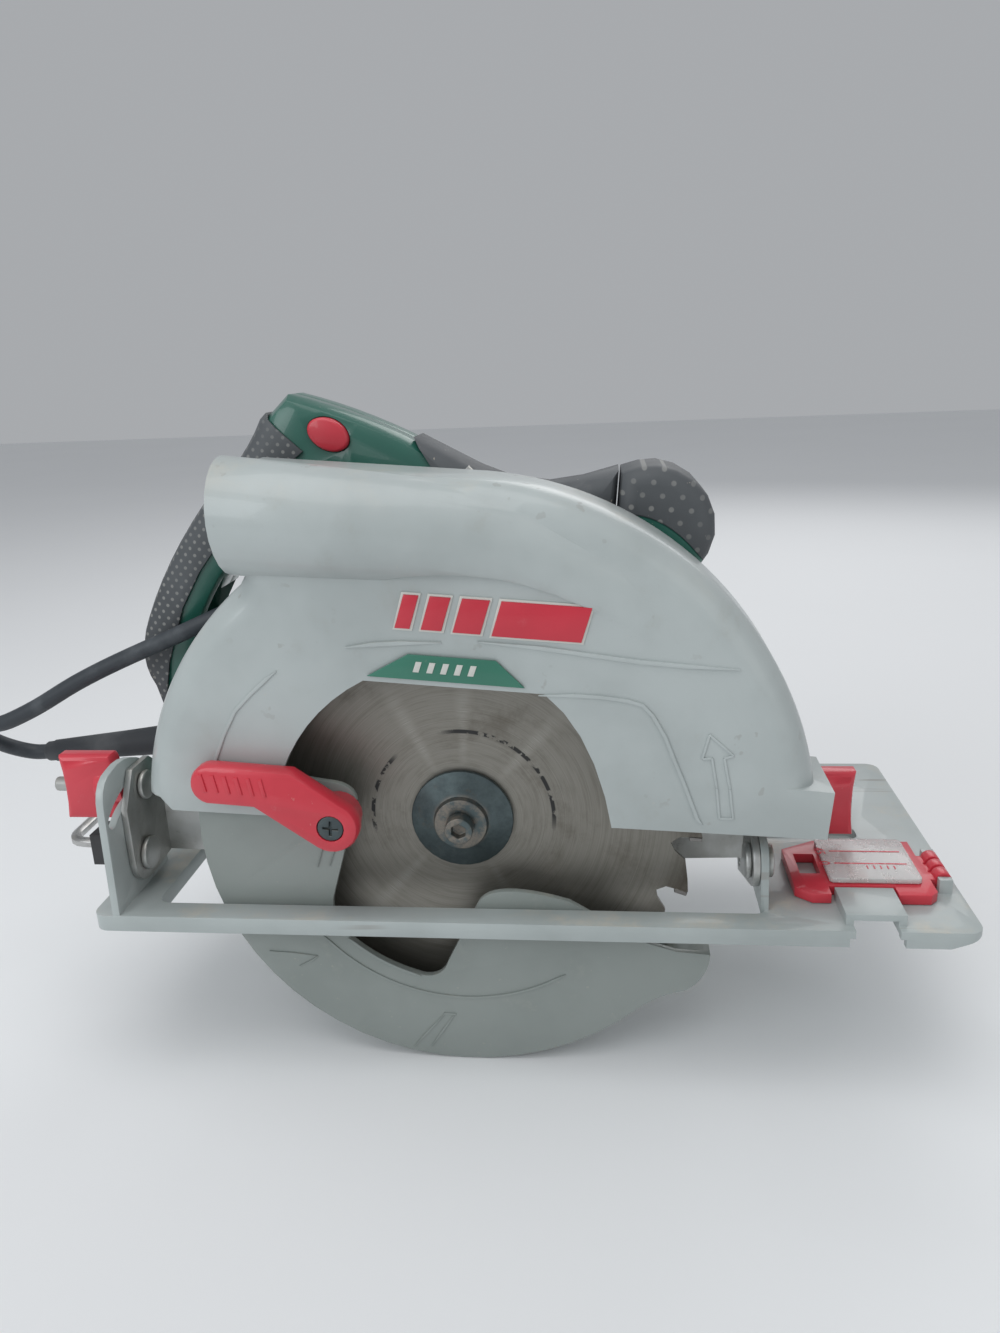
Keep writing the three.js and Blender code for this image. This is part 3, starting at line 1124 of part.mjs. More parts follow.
const COIL_X = 18;
const COIL_Y = 196;
const COIL_Z = FLOOR + 2.1;
const COIL_HALF = CORD_R * COIL_TURNS_ACROSS;
const COIL_INNER = COIL_R - COIL_HALF;
const COIL_OUTER = COIL_R + COIL_HALF;
const COIL_HEIGHT = 2 * CORD_R * COIL_LAYERS;
const LEAD_Z = FLOOR + CORD_R + 0.3;
const LEAD_END_Z = COIL_Z + CORD_R + 0.5;

// The lead turns back beside the saw, passes through the hand opening, lies over the motor and
// drops behind it to the floor, where it runs into the coil.
piece(lead, 'cord_lead', 'rubber', tube([
  [-200.8, HANDLE_Y, 47], [-206.5, 44.6, 47], [-213, 42, 49.6], [-218, 37.2, 54.4],
  [-219, 31.8, 59.6], [-216, 26, 65], [-209, 21.8, 68.6], [-200, 20, 71.2], [-185, 19.8, 78],
  [-166, 20.2, 88.4], [-146, 20.6, 97.6], [-118, 20.8, 109], [-96, 24, 118],
  [-80, 36, 122], [-70, 52, 120], [-56, 72, 113], [-39, 92, 106], [-28, 105, 104],
  [-20, 119, 101.5], [-14, 131, 93.5], [-10, 139, 80], [-7, 142, 62], [-6, 143, 30],
  [-5, 144, -12], [-6, 144.5, -32], [-10, 146, -46], [-19, 149.5, -56.5],
  [-34, 156, LEAD_Z], [-50, 165, LEAD_Z], [-60, 177, LEAD_Z], [-61, 189, LEAD_Z + 0.6],
  [-52, 195, LEAD_END_Z], [COIL_X - COIL_OUTER - GAP, COIL_Y, LEAD_END_Z],
], 72));

/** The coiled cord as one ring, grown all round where room for it is wanted. */
function coilRing(grow) {
  const z0 = -grow;
  const z1 = COIL_HEIGHT + grow;
  const profile = [[COIL_INNER - grow, z0], [COIL_OUTER + grow, z0], [COIL_OUTER + grow, z1],
    [COIL_INNER - grow, z1], [COIL_INNER - grow, z0]];
  const geometry = new THREE.LatheGeometry(profile.map(([r, z]) => new THREE.Vector2(r, z)), 36);
  return solid(geometry.rotateX(Math.PI / 2).translate(COIL_X, COIL_Y, COIL_Z));
}

piece(lead, 'cord_coil', 'rubber', coilRing(0));

function cordTie() {
  const x = COIL_X + COIL_R;
  const half = COIL_HALF + 2.2;
  return cut(
    box(x - half, x + half, COIL_Y - 6, COIL_Y + 6, FLOOR + 0.2, COIL_Z + COIL_HEIGHT + 1.9),
    coilRing(GAP));
}

piece(lead, 'cord_tie', 'black', cordTie());

const PLUG_X = 58;
const PLUG_Y = COIL_Y + COIL_OUTER + 36.8;
const PLUG_Z = FLOOR + 12.6;
piece(lead, 'cord_tail', 'rubber', tube([
  [COIL_X, COIL_Y + COIL_OUTER + GAP, LEAD_END_Z], [COIL_X, COIL_Y + COIL_OUTER + 6, LEAD_END_Z],
  [COIL_X + 3.5, COIL_Y + COIL_OUTER + 17, LEAD_Z + 1], [COIL_X + 12, PLUG_Y - 9, LEAD_Z + 2],
  [COIL_X + 24, PLUG_Y - 2, LEAD_Z + 5], [PLUG_X - 7, PLUG_Y, PLUG_Z - 0.6],
  [PLUG_X, PLUG_Y, PLUG_Z],
], 18));

/** A two-pin moulded plug lying on its flat side, with its own tapered sleeve. */
function mainsPlug() {
  const sleeve = bar([PLUG_X + GAP, PLUG_Y, PLUG_Z], [PLUG_X + 26, PLUG_Y, PLUG_Z], 5, 9, 20);
  const body = new THREE.CylinderGeometry(17, 11, 30, 24).rotateZ(-Math.PI / 2)
    .scale(1, 1, 0.7).translate(PLUG_X + 38, 0, 0);
  const pins = [-9.5, 9.5].map((dy) =>
    rodX(PLUG_X + 52, PLUG_X + 72, PLUG_Y + dy, PLUG_Z, 2.4, 16));
  return join(sleeve, solid(body.translate(0, PLUG_Y, PLUG_Z)), ...pins);
}

piece(lead, 'mains_plug', 'black', mainsPlug());

export default saw;
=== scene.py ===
import json
import math

import bmesh
import bpy
from mathutils import Matrix, Vector


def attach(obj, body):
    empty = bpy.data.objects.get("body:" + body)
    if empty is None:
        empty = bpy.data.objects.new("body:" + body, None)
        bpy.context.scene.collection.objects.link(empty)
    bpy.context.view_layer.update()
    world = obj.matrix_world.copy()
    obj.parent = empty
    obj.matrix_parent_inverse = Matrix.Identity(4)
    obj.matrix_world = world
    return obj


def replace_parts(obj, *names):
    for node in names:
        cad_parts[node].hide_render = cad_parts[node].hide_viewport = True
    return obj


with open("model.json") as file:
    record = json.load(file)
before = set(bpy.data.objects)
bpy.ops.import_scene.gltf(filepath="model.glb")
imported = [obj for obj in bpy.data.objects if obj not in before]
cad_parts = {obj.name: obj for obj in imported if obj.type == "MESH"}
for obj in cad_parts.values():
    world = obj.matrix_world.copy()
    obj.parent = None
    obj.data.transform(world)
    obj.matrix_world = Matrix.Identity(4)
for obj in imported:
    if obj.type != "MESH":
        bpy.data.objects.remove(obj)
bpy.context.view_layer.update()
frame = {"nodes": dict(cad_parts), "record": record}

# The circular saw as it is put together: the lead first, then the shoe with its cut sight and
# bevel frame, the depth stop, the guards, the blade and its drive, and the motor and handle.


# ---- Camera, lights and floor ------------------------------------------------------------------
# The saw stands on its lower guard on a plain pale floor, under four large soft lights. The camera
# is close in front of the blade's side, above the sole and turned a little down.

SHOE = Vector((-0.023, -0.0495, 0.0))       # the sole's point under the middle of the blade
FLOOR_Z = -0.0655                           # the lowest point of the lower guard
EYE = Vector((0.0582, -0.3557, 0.2118)) + SHOE
PITCH_DOWN, YAW, ROLL = 0.3013, 0.1144, -0.0421
SENSOR = 36.0
FOCAL = 26.6

camera_data = bpy.data.cameras.new("camera")
camera_data.sensor_fit = "VERTICAL"
camera_data.sensor_height = SENSOR
camera_data.lens = FOCAL
camera_data.clip_start = 0.01
camera = bpy.data.objects.new("camera", camera_data)
forward = Vector((-math.sin(YAW) * math.cos(PITCH_DOWN), math.cos(YAW) * math.cos(PITCH_DOWN),
                  -math.sin(PITCH_DOWN)))
level_right = Vector((math.cos(YAW), math.sin(YAW), 0))
level_up = level_right.cross(forward)
right = math.cos(ROLL) * level_right + math.sin(ROLL) * level_up
up = math.cos(ROLL) * level_up - math.sin(ROLL) * level_right
camera.matrix_world = Matrix((right, up, -forward)).transposed().to_4x4()
camera.location = EYE
bpy.context.scene.collection.objects.link(camera)
bpy.context.scene.camera = camera
bpy.context.scene.view_settings.view_transform = "Standard"

world = bpy.data.worlds.new("studio")
world.use_nodes = True
world.node_tree.nodes["Background"].inputs["Color"].default_value = (0.93, 0.96, 1.0, 1)
world.node_tree.nodes["Background"].inputs["Strength"].default_value = 0.42
bpy.context.scene.world = world


def softbox(name, at, towards, size, power, colour=(1, 1, 1)):
    """A large square area light that faces a point."""
    data = bpy.data.lights.new(name, "AREA")
    data.size, data.energy, data.color = size, power, colour
    light = bpy.data.objects.new(name, data)
    light.location = at
    light.rotation_euler = (Vector(towards) - Vector(at)).to_track_quat("-Z", "Y").to_euler()
    bpy.context.scene.collection.objects.link(light)


softbox("ceiling_light", (-0.2, -0.3, 1.3), (0, 0, 0), 1.1, 7)
softbox("window_light", (-0.9, -1.1, 0.75), (0, 0, 0.05), 0.8, 6, (0.94, 0.98, 1.0))
softbox("fill_light", (1.1, -0.9, 0.5), (0, 0, 0.05), 0.9, 1.6, (1.0, 0.98, 0.95))
softbox("back_light", (0.4, 1.2, 0.9), (0, 0, 0.1), 0.9, 4.5)


# Every finish is one Principled shader. A field is a socket that sums can be written with.
class Field:
    """A socket of a finish's nodes: arithmetic on it adds the Math nodes."""

    def __init__(self, finish, socket):
        self.finish = finish
        self.socket = socket

    def math(self, operation, *values):
        return self.finish.math(operation, *values)

    def __add__(self, other):
        return self.math("ADD", self, other)

    def __sub__(self, other):
        return self.math("SUBTRACT", self, other)

    def __rsub__(self, other):
        return self.math("SUBTRACT", other, self)

    def __mul__(self, other):
        return self.math("MULTIPLY", self, other)

    def __truediv__(self, other):
        return self.math("DIVIDE", self, other)

    def __abs__(self):
        return self.math("ABSOLUTE", self)

    __radd__ = __add__
    __rmul__ = __mul__

    def power(self, exponent):
        return self.math("POWER", self, exponent)

    def most(self, other):
        return self.math("MAXIMUM", self, other)

    def sine(self):
        return self.math("SINE", self)

    def step(self, low, high):
        """0 below low and 1 above high, smooth between; the other way round if low > high."""
        return self.finish.node("ShaderNodeMapRange", {"interpolation_type": "SMOOTHSTEP"},
                                {0: self, 1: min(low, high), 2: max(low, high),
                                 3: float(low > high), 4: float(low <= high)})


class Finish:
    """A material: its constants on the shader's sockets, and the fields that vary over it."""

    def __init__(self, name, colour, roughness, metallic=0.0, **constants):
        self.material = bpy.data.materials.new(name)
        self.material.use_nodes = True
        self.tree = self.material.node_tree
        self.shader = self.tree.nodes["Principled BSDF"]
        self.material.diffuse_color = (*colour, 1)
        self.set("Base Color", (*colour, 1))
        self.set("Roughness", roughness)
        self.set("Metallic", metallic)
        for socket, value in constants.items():
            self.set(socket.replace("_", " ").title().replace("Ior", "IOR"), value)
        self.normal = None

    def set(self, socket, value):
        """Puts a constant or a field on one of the shader's sockets."""
        if isinstance(value, Field):
            self.tree.links.new(value.socket, self.shader.inputs[socket])
        else:
            self.shader.inputs[socket].default_value = value

    def node(self, kind, settings=None, inputs=None, output=0):
        """A node of that type, with its settings first and then its sockets' values or links."""
        made = self.tree.nodes.new(kind)
        for key, value in (settings or {}).items():
            setattr(made, key, value)
        for key, value in (inputs or {}).items():
            if isinstance(value, Field):
                self.tree.links.new(value.socket, made.inputs[key])
            else:
                made.inputs[key].default_value = value
        return Field(self, made.outputs[output])

    def math(self, operation, *values):
        return self.node("ShaderNodeMath", {"operation": operation}, dict(enumerate(values)))

    def place(self, scale=(1, 1, 1)):
        """The object's own coordinates in metres, stretched by the given scale."""
        spot = self.node("ShaderNodeTexCoord", output="Object")
        return self.node("ShaderNodeMapping", inputs={"Vector": spot, "Scale": scale})

    def head_place(self, scale=(1, 1, 1)):
        """Coordinates in millimetres from the blade's axis and mid plane, level with the head."""
        spot = self.node("ShaderNodeTexCoord", output="Object")
        return self.node("ShaderNodeMapping", {"vector_type": "TEXTURE"},
                         {"Vector": spot, "Location": HEAD_ORIGIN,
                          "Rotation": (0, HEAD_PITCH, 0),
                          "Scale": tuple(0.001 / s for s in scale)})

    def parts(self, vector):
        """The x, y and z fields of a vector field."""
        split = self.node("ShaderNodeSeparateXYZ", inputs={0: vector})
        outputs = split.socket.node.outputs
        return [Field(self, outputs[i]) for i in range(3)]

    def noise(self, scale, detail=3.0, roughness=0.55, stretch=(1, 1, 1)):
        return self.node("ShaderNodeTexNoise", inputs={
            "Vector": self.place(stretch), "Scale": scale, "Detail": detail,
            "Roughness": roughness})

    def mixed(self, mask, first, second):
        """One colour where the mask is 0, the other where it is 1."""
        return self.node("ShaderNodeMix", {"data_type": "RGBA"},
                         {0: mask, 6: self.rgba(first), 7: self.rgba(second)}, output=2)

    @staticmethod
    def rgba(colour):
        return colour if isinstance(colour, Field) or len(colour) == 4 else (*colour, 1)

    def facing_up(self):
        """How far the surface faces up, from 0 to 1."""
        normal = self.node("ShaderNodeTexCoord", output="Normal")
        return self.parts(normal)[2].step(0.2, 0.95)

    def bump(self, height, strength=0.3, distance=0.0005):
        """Adds relief of the given depth in metres on top of what is there."""
        inputs = {"Height": height, "Strength": strength, "Distance": distance}
        if self.normal is not None:
            inputs["Normal"] = self.normal
        self.normal = self.node("ShaderNodeBump", inputs=inputs)
        self.set("Normal", self.normal)


floor_mesh = bmesh.new()
bmesh.ops.create_grid(floor_mesh, x_segments=4, y_segments=4, size=3.0)
bmesh.ops.translate(floor_mesh, vec=(0, 1.0, FLOOR_Z - 0.0003), verts=floor_mesh.verts)
floor_data = bpy.data.meshes.new("floor")
floor_mesh.to_mesh(floor_data)
floor = bpy.data.objects.new("floor", floor_data)
bpy.context.scene.collection.objects.link(floor)
paper = Finish("pale_paper", (0.86, 0.87, 0.88), 0.8)
paper.set("Base Color", paper.mixed(paper.noise(3.0), (0.86, 0.87, 0.88), (0.83, 0.84, 0.85)))
floor_data.materials.append(paper.material)


# ---- Mains lead --------------------------------------------------------------------------------
# A two-core rubber lead, 7 mm thick, leaves the handle's foot through a tapered boot. It turns
# back through the hand opening, lies over the motor and ends in a tied coil behind the saw.

CORD_R = 0.0035
COIL_CENTRE = Vector((0.018, 0.196, -0.0634)) + SHOE
lead_run = [
    (-200.2, 45, 47), (-206.5, 44.6, 47), (-213, 42, 49.6), (-218, 37.2, 54.4),
    (-219, 31.8, 59.6), (-216, 26, 65), (-209, 21.8, 68.6), (-200, 20, 71.2), (-185, 19.8, 78),
    (-166, 20.2, 88.4), (-146, 20.6, 97.6), (-118, 20.8, 109), (-96, 24, 118),
    (-87, 29, 121), (-80, 36, 122), (-74.5, 44, 121.5), (-70, 52, 120), (-63, 62, 116.5),
    (-56, 72, 113), (-48, 82, 109), (-39, 92, 106), (-28, 105, 104), (-20, 119, 101.5),
    (-14, 131, 93.5), (-10, 139, 80), (-7, 142, 62), (-6, 143, 30), (-5, 144, -12),
    (-6, 144.5, -32), (-10, 146, -46), (-18, 149.5, -56), (-28, 156, -61.5),
    (-34, 166, -61.7), (-34, 180, -61.4),
]
path = [Vector(p) * 0.001 + SHOE for p in lead_run]
TURN_RADII = [0.047, 0.040, 0.033]
STEPS_A_TURN = 18
for layer, radii in enumerate([TURN_RADII, TURN_RADII[::-1]]):
    for turn, radius in enumerate(radii):
        following = radii[min(turn + 1, len(radii) - 1)]
        for step in range(STEPS_A_TURN):
            share = step / STEPS_A_TURN
            ease = max(0.0, share - 0.6) / 0.4
            ease = ease * ease * (3 - 2 * ease)
            lift = 0.0
            if layer == 0 and turn == len(radii) - 1:
                lift = 2 * CORD_R * ease
            r = radius + (following - radius) * ease
            angle = math.pi - 2 * math.pi * share
            path.append(COIL_CENTRE + Vector((r * math.cos(angle), r * math.sin(angle),
                                              CORD_R + 2 * CORD_R * layer + lift)))
tail_run = [
    (-29, 196, -52.9), (-29.2, 210, -52.7), (-29, 223, -53.4), (-26.5, 238, -56.5),
    (-19, 254, -60.4), (-5, 268, -61.6), (12, 277, -61), (28, 281.5, -58.5), (43, 283.2, -54.6),
    (53, 283.3, -53), (57.9, 283.3, -52.9),
]
path += [Vector(p) * 0.001 + SHOE for p in tail_run]


def smooth_points(points, pieces=4):
    """Catmull-Rom points between the given ones."""
    made = []
    for i in range(len(points) - 1):
        a, b = points[max(i - 1, 0)], points[i]
        c, d = points[i + 1], points[min(i + 2, len(points) - 1)]
        for j in range(pieces):
            t = j / pieces
            made.append(0.5 * ((2 * b) + (c - a) * t + (2 * a - 5 * b + 4 * c - d) * t * t
                               + (3 * b - a - 3 * c + d) * t ** 3))
    return made + [points[-1]]


line = smooth_points(path)
cord_curve = bpy.data.curves.new("mains_lead", "CURVE")
cord_curve.dimensions = "3D"
cord_curve.bevel_depth = CORD_R
cord_curve.bevel_resolution = 4
cord_curve.use_fill_caps = True
cord_spline = cord_curve.splines.new("POLY")
cord_spline.points.add(len(line) - 1)
for point, at in zip(cord_spline.points, line):
    point.co = (*at, 1)
cord_spline.use_smooth = True
cord = bpy.data.objects.new("mains_lead", cord_curve)
bpy.context.scene.collection.objects.link(cord)
cord_length = sum((b - a).length for a, b in zip(line, line[1:]))

sheath = Finish("cable_sheath", (0.035, 0.042, 0.05), 0.5)
sheath_wear = sheath.noise(60, 5, 0.6)
sheath.set("Base Color", sheath.mixed(sheath_wear.step(0.45, 0.75), (0.03, 0.037, 0.045),
                                      (0.075, 0.085, 0.095)))
sheath.set("Roughness", 0.42 + sheath_wear * 0.25)
sheath.bump(sheath.noise(900, 2), 0.15, 0.0002)
cord_curve.materials.append(sheath.material)
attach(cord, "saw_head")
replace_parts(cord, "cord_lead", "cord_coil", "cord_tail")


# Two frames in millimetres about the blade's axis and mid plane: the shoe's, on the sole, and the
# head's, which stands 5 degrees nose down.
HEAD_PITCH = math.radians(5)
HEAD_ORIGIN = SHOE + Vector((0, 0, 0.038))
HEAD = (Matrix.Translation(HEAD_ORIGIN) @ Matrix.Rotation(HEAD_PITCH, 4, "Y")
        @ Matrix.Scale(0.001, 4))
SHOE_MM = Matrix.Translation(SHOE) @ Matrix.Scale(0.001, 4)


def placed(name, mesh, finish, body, place=None, smooth=40):
    """Makes the bmesh a shown piece with its finish, on its body, with its place in its mesh."""
    if place is not None:
        bmesh.ops.transform(mesh, matrix=place, verts=mesh.verts)
    data = bpy.data.meshes.new(name)
    mesh.to_mesh(data)
    mesh.free()
    data.shade_smooth()
    data.set_sharp_from_angle(angle=math.radians(smooth))
    data.materials.append(finish.material)
    piece = bpy.data.objects.new(name, data)
    bpy.context.scene.collection.objects.link(piece)
    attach(piece, body)
    return piece


BODY_OF = {node: body for body, nodes in frame["record"]["behaviour"]["bodies"].items()
           for node in nodes}


def solid_copy(node):
    """A node's solid with its loose triangles merged into flat faces."""
    mesh = bmesh.new()
    mesh.from_mesh(frame["nodes"][node].data)
    bmesh.ops.remove_doubles(mesh, verts=mesh.verts, dist=2e-6)
    bmesh.ops.dissolve_limit(mesh, angle_limit=math.radians(0.7), verts=mesh.verts,
                             edges=mesh.edges, use_dissolve_boundaries=False)
    return mesh


def rounded(mesh, width, sharp):
    """Rounds every edge that turns by more than the given angle."""
    edges = [e for e in mesh.edges if len(e.link_faces) == 2
             and e.calc_face_angle(0) > math.radians(sharp)]
    if edges and width:
        bmesh.ops.bevel(mesh, geom=edges, offset=width, affect="EDGES", segments=2,
                        profile=0.5, material=-1, clamp_overlap=True)
    return mesh


def dressed(node, finish, edge=0.0004, sharp=40, smooth=40):
    """Replaces a node by its own solid with softened edges and its finish."""
    mesh = rounded(solid_copy(node), edge, sharp)
    piece = placed(node + "_finished", mesh, finish, BODY_OF[node], smooth=smooth)
    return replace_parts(piece, node)


# The boot: a smooth moulded taper with a collar at its root, held in the foot of the handle.
def turned_piece(profile, axis_from, axis_to):
    """Spins (distance, radius) pairs round the line between two points, in metres."""
    mesh = bmesh.new()
    chain = [mesh.verts.new((r, 0, d)) for d, r in profile]
    edges = [mesh.edges.new(pair) for pair in zip(chain, chain[1:])]
    bmesh.ops.spin(mesh, geom=chain + edges, cent=(0, 0, 0), axis=(0, 0, 1), dvec=(0, 0, 0),
                   angle=2 * math.pi, steps=32, use_merge=True)
    bmesh.ops.remove_doubles(mesh, verts=mesh.verts, dist=1e-7)
    bmesh.ops.recalc_face_normals(mesh, faces=mesh.faces)
    start, end = Vector(axis_from), Vector(axis_to)
    turn = (end - start).to_track_quat("Z", "Y").to_matrix().to_4x4()
    bmesh.ops.transform(mesh, matrix=Matrix.Translation(start) @ turn, verts=mesh.verts)
    return mesh


boot_from = HEAD @ Vector((-122, 45, 6.6))
boot_to = HEAD @ Vector((-200, 45, -8.4))
boot_long = (boot_to - boot_from).length
boot_profile = [(0.0, 0.0), (0.0, 0.0070), (0.0006, 0.0074), (0.014, 0.0073),
                (0.0145, 0.0070), (boot_long * 0.5, 0.0060), (boot_long - 0.0045, 0.0050),
                (boot_long - 0.004, 0.0046), (boot_long - 0.0008, 0.0045),
                (boot_long, 0.0040), (boot_long, 0.0)]
boot_rubber = Finish("boot_rubber", (0.04, 0.045, 0.05), 0.62)
boot_rubber.set("Base Color", boot_rubber.mixed(boot_rubber.noise(45, 4).step(0.4, 0.8),
                                                (0.03, 0.034, 0.04), (0.09, 0.095, 0.1)))
boot_rubber.bump(boot_rubber.noise(1200, 2), 0.2, 0.0002)
boot = placed("cord_boot_finished", turned_piece(boot_profile, boot_from, boot_to), boot_rubber,
              "saw_head", smooth=50)
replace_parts(boot, "cord_boot")

# The plug and the tie: a moulded two-pin plug with brass pins, and a hook-and-loop strap.
moulding = Finish("black_moulding", (0.022, 0.022, 0.024), 0.5)
moulding_grain = moulding.noise(1500, 2)
moulding.set("Base Color", moulding.mixed(moulding.noise(25, 4).step(0.45, 0.8),
                                          (0.02, 0.02, 0.022), (0.05, 0.05, 0.052)))
moulding.set("Roughness", 0.42 + moulding_grain * 0.2)
moulding.bump(moulding_grain, 0.25, 0.00015)
plug = dressed("mains_plug", moulding, 0.0008, 30)
tie_cloth = Finish("hook_and_loop", (0.02, 0.02, 0.022), 0.95)
tie_cloth.set("Base Color", tie_cloth.mixed(tie_cloth.noise(2500, 2), (0.012, 0.012, 0.014),
                                            (0.05, 0.05, 0.052)))
tie_cloth.bump(tie_cloth.noise(2500, 2), 0.8, 0.0006)
tie = dressed("cord_tie", tie_cloth, 0.0005)


# ---- Base plate --------------------------------------------------------------------------------
# A pressed sheet-steel shoe in light grey enamel. Sawdust has settled in its corners, and the
# enamel is rubbed through to bright metal in fine scratches along the cutting direction.

GREY, GREY_DARK = (0.43, 0.475, 0.47), (0.35, 0.39, 0.385)
DUST, BARE = (0.56, 0.51, 0.42), (0.28, 0.27, 0.25)


def enamel(name, light, dark, dust_amount, scratch_amount, along=(1, 1, 1)):
    """Baked enamel: faint mottling, rubbed scratches, settled dust and a light orange peel."""
    paint = Finish(name, light, 0.35, 0.0, Coat_Weight=0.25)
    cloud = paint.noise(14, 4, 0.6)
    colour = paint.mixed(cloud.step(0.35, 0.7), light, dark)
    smudge = paint.noise(55, 5, 0.7).step(0.56, 0.78)
    colour = paint.mixed(smudge * 0.35, colour, (0.36, 0.37, 0.34))
    fine = paint.noise(180, 2, 0.5, along).step(0.67, 0.71)
    patch = paint.noise(20, 2).step(0.5, 0.62)
    scratches = fine * patch * scratch_amount
    colour = paint.mixed(scratches, colour, BARE)
    specks = paint.noise(420, 2, 0.6).step(0.72, 0.76)
    dust = (paint.noise(32, 6, 0.7).step(0.48, 0.75) * paint.facing_up()).most(specks * 0.4)
    colour = paint.mixed(dust * dust_amount, colour, DUST)
    paint.set("Base Color", colour)
    paint.set("Roughness", 0.33 + cloud * 0.12 + dust * 0.3 * dust_amount + scratches * 0.2)
    paint.bump(paint.noise(900, 2, 0.5), 0.06, 0.0004)
    paint.bump(scratches, -0.25, 0.0002)
    return paint


plate_enamel = enamel("plate_enamel", GREY, GREY_DARK, 0.75, 0.8, (0.05, 1, 1))
dressed("base_plate", plate_enamel, 0.0007, 40)


# ---- Cut sight ---------------------------------------------------------------------------------
# A red moulded frame with three knuckles on a pin, and a clear window with the two cutting lines
# and their angles, 0 and 45, printed in red.

def moulded(name, light, dark, roughness, dirt=0.35, coat=0.1):
    """Moulded plastic: slight flow marks, a fine texture, rubbed spots and pale dust."""
    plastic = Finish(name, light, roughness, 0.0, Coat_Weight=coat)
    cloud = plastic.noise(18, 4, 0.6)
    colour = plastic.mixed(cloud.step(0.3, 0.75), light, dark)
    rubbed = plastic.noise(70, 6, 0.75).step(0.6, 0.8)
    colour = plastic.mixed(rubbed * dirt, colour, tuple(0.5 * c + 0.22 for c in light))
    specks = plastic.noise(380, 2, 0.6).step(0.72, 0.77) * (0.4 + plastic.facing_up() * 0.6)
    colour = plastic.mixed(specks * dirt * 1.4, colour, DUST)
    plastic.set("Base Color", colour)
    plastic.set("Roughness", roughness - 0.06 + cloud * 0.14 + rubbed * 0.12)
    plastic.bump(plastic.noise(1600, 2), 0.12, 0.0002)
    return plastic


red = moulded("red_moulding", (0.68, 0.045, 0.07), (0.56, 0.03, 0.05), 0.36, 0.3, 0.3)
dressed("cut_sight_frame", red, 0.0006)
window = Finish("clear_window", (0.86, 0.85, 0.84), 0.3, 0.0, Transmission_Weight=0.5,
                Ior=1.49)
window_haze = window.noise(120, 5, 0.7)
streaks = window.noise(90, 3, 0.6, (1, 0.08, 1)).step(0.5, 0.65)
window.set("Roughness", 0.22 + window_haze.step(0.45, 0.8) * 0.3)
window.set("Base Color", window.mixed(window_haze.step(0.5, 0.8).most(streaks * 0.6),
                                      (0.88, 0.87, 0.86), (0.80, 0.70, 0.68)))
window.bump(window_haze + streaks, 0.15, 0.0003)
dressed("cut_sight_window", window, 0.0003)

ink = Finish("red_ink", (0.6, 0.02, 0.05), 0.5)
ink.set("Base Color", ink.mixed(ink.noise(900, 3).step(0.5, 0.7), (0.6, 0.02, 0.05),
                                (0.75, 0.3, 0.3)))
WINDOW_TOP = 13.32


def slab(x0, x1, y0, y1, z0, z1):
    """A block between two corners, made from one cube."""
    mesh = bmesh.new()
    bmesh.ops.create_cube(mesh, size=1.0)
    bmesh.ops.scale(mesh, vec=(x1 - x0, y1 - y0, z1 - z0), verts=mesh.verts)
    bmesh.ops.translate(mesh, vec=((x0 + x1) / 2, (y0 + y1) / 2, (z0 + z1) / 2),
                        verts=mesh.verts)
    return mesh


def gathered(meshes):
    """Several bmeshes as one."""
    whole = bmesh.new()
    for mesh in meshes:
        data = bpy.data.meshes.new("part")
        mesh.to_mesh(data)
        mesh.free()
        whole.from_mesh(data)
        bpy.data.meshes.remove(data)
    return whole


marks = [slab(148, 176, y - 0.35, y + 0.35, WINDOW_TOP, WINDOW_TOP + 0.12) for y in (10.2, 20.4)]
marks += [slab(160 + 2.6 * i, 160.5 + 2.6 * i, 6, 8.6, WINDOW_TOP, WINDOW_TOP + 0.12)
          for i in range(5)]
placed("cut_lines", gathered(marks), ink, "cut_sight", SHOE_MM)


def printed(name, text, y):
    """The red characters of one cutting line, made a mesh before they are put in place."""
    curve = bpy.data.curves.new(name, "FONT")
    curve.body, curve.size, curve.extrude = text, 6, 0.06
    curve.align_x, curve.align_y = "CENTER", "CENTER"
    letters = bpy.data.objects.new(name, curve)
    bpy.context.scene.collection.objects.link(letters)
    bpy.context.view_layer.update()
    data = bpy.data.meshes.new_from_object(letters)
    bpy.data.objects.remove(letters)
    mesh = bmesh.new()
    mesh.from_mesh(data)
    place = (SHOE_MM @ Matrix.Translation((144, y, WINDOW_TOP + 0.07))
             @ Matrix.Rotation(-math.pi / 2, 4, "Z"))
    placed(name, mesh, ink, "cut_sight", place)


printed("mark_zero", "0", 10.2)
printed("mark_forty_five", "45", 20.4)


# ---- Bevel frame, clamp bolts and wing knobs ---------------------------------------------------
# Zinc-plated pressings riveted to the shoe's ears. The wing knobs are red mouldings with ribbed
# wings on plated studs, and the hex key waits in a black clip.

def plated(name, light, dark, roughness, metallic=0.85):
    """Plated or ground steel: brushed grain, a milky haze and dirty spots."""
    metal = Finish(name, light, roughness, metallic)
    grain = metal.noise(700, 2, 0.5, (0.06, 1, 1))
    haze = metal.noise(40, 5, 0.65)
    colour = metal.mixed(haze.step(0.35, 0.7), light, dark)
    spots = metal.noise(160, 4, 0.7).step(0.62, 0.75)
    colour = metal.mixed(spots * 0.5, colour, tuple(0.35 * c for c in dark))
    colour = metal.mixed(metal.facing_up() * haze.step(0.45, 0.7) * 0.5, colour, DUST)
    metal.set("Base Color", colour)
    metal.set("Roughness", roughness + haze * 0.15 + grain * 0.08 - 0.1)
    metal.set("Metallic", metallic - spots * 0.4)
    metal.bump(grain, 0.08, 0.0002)
    return metal


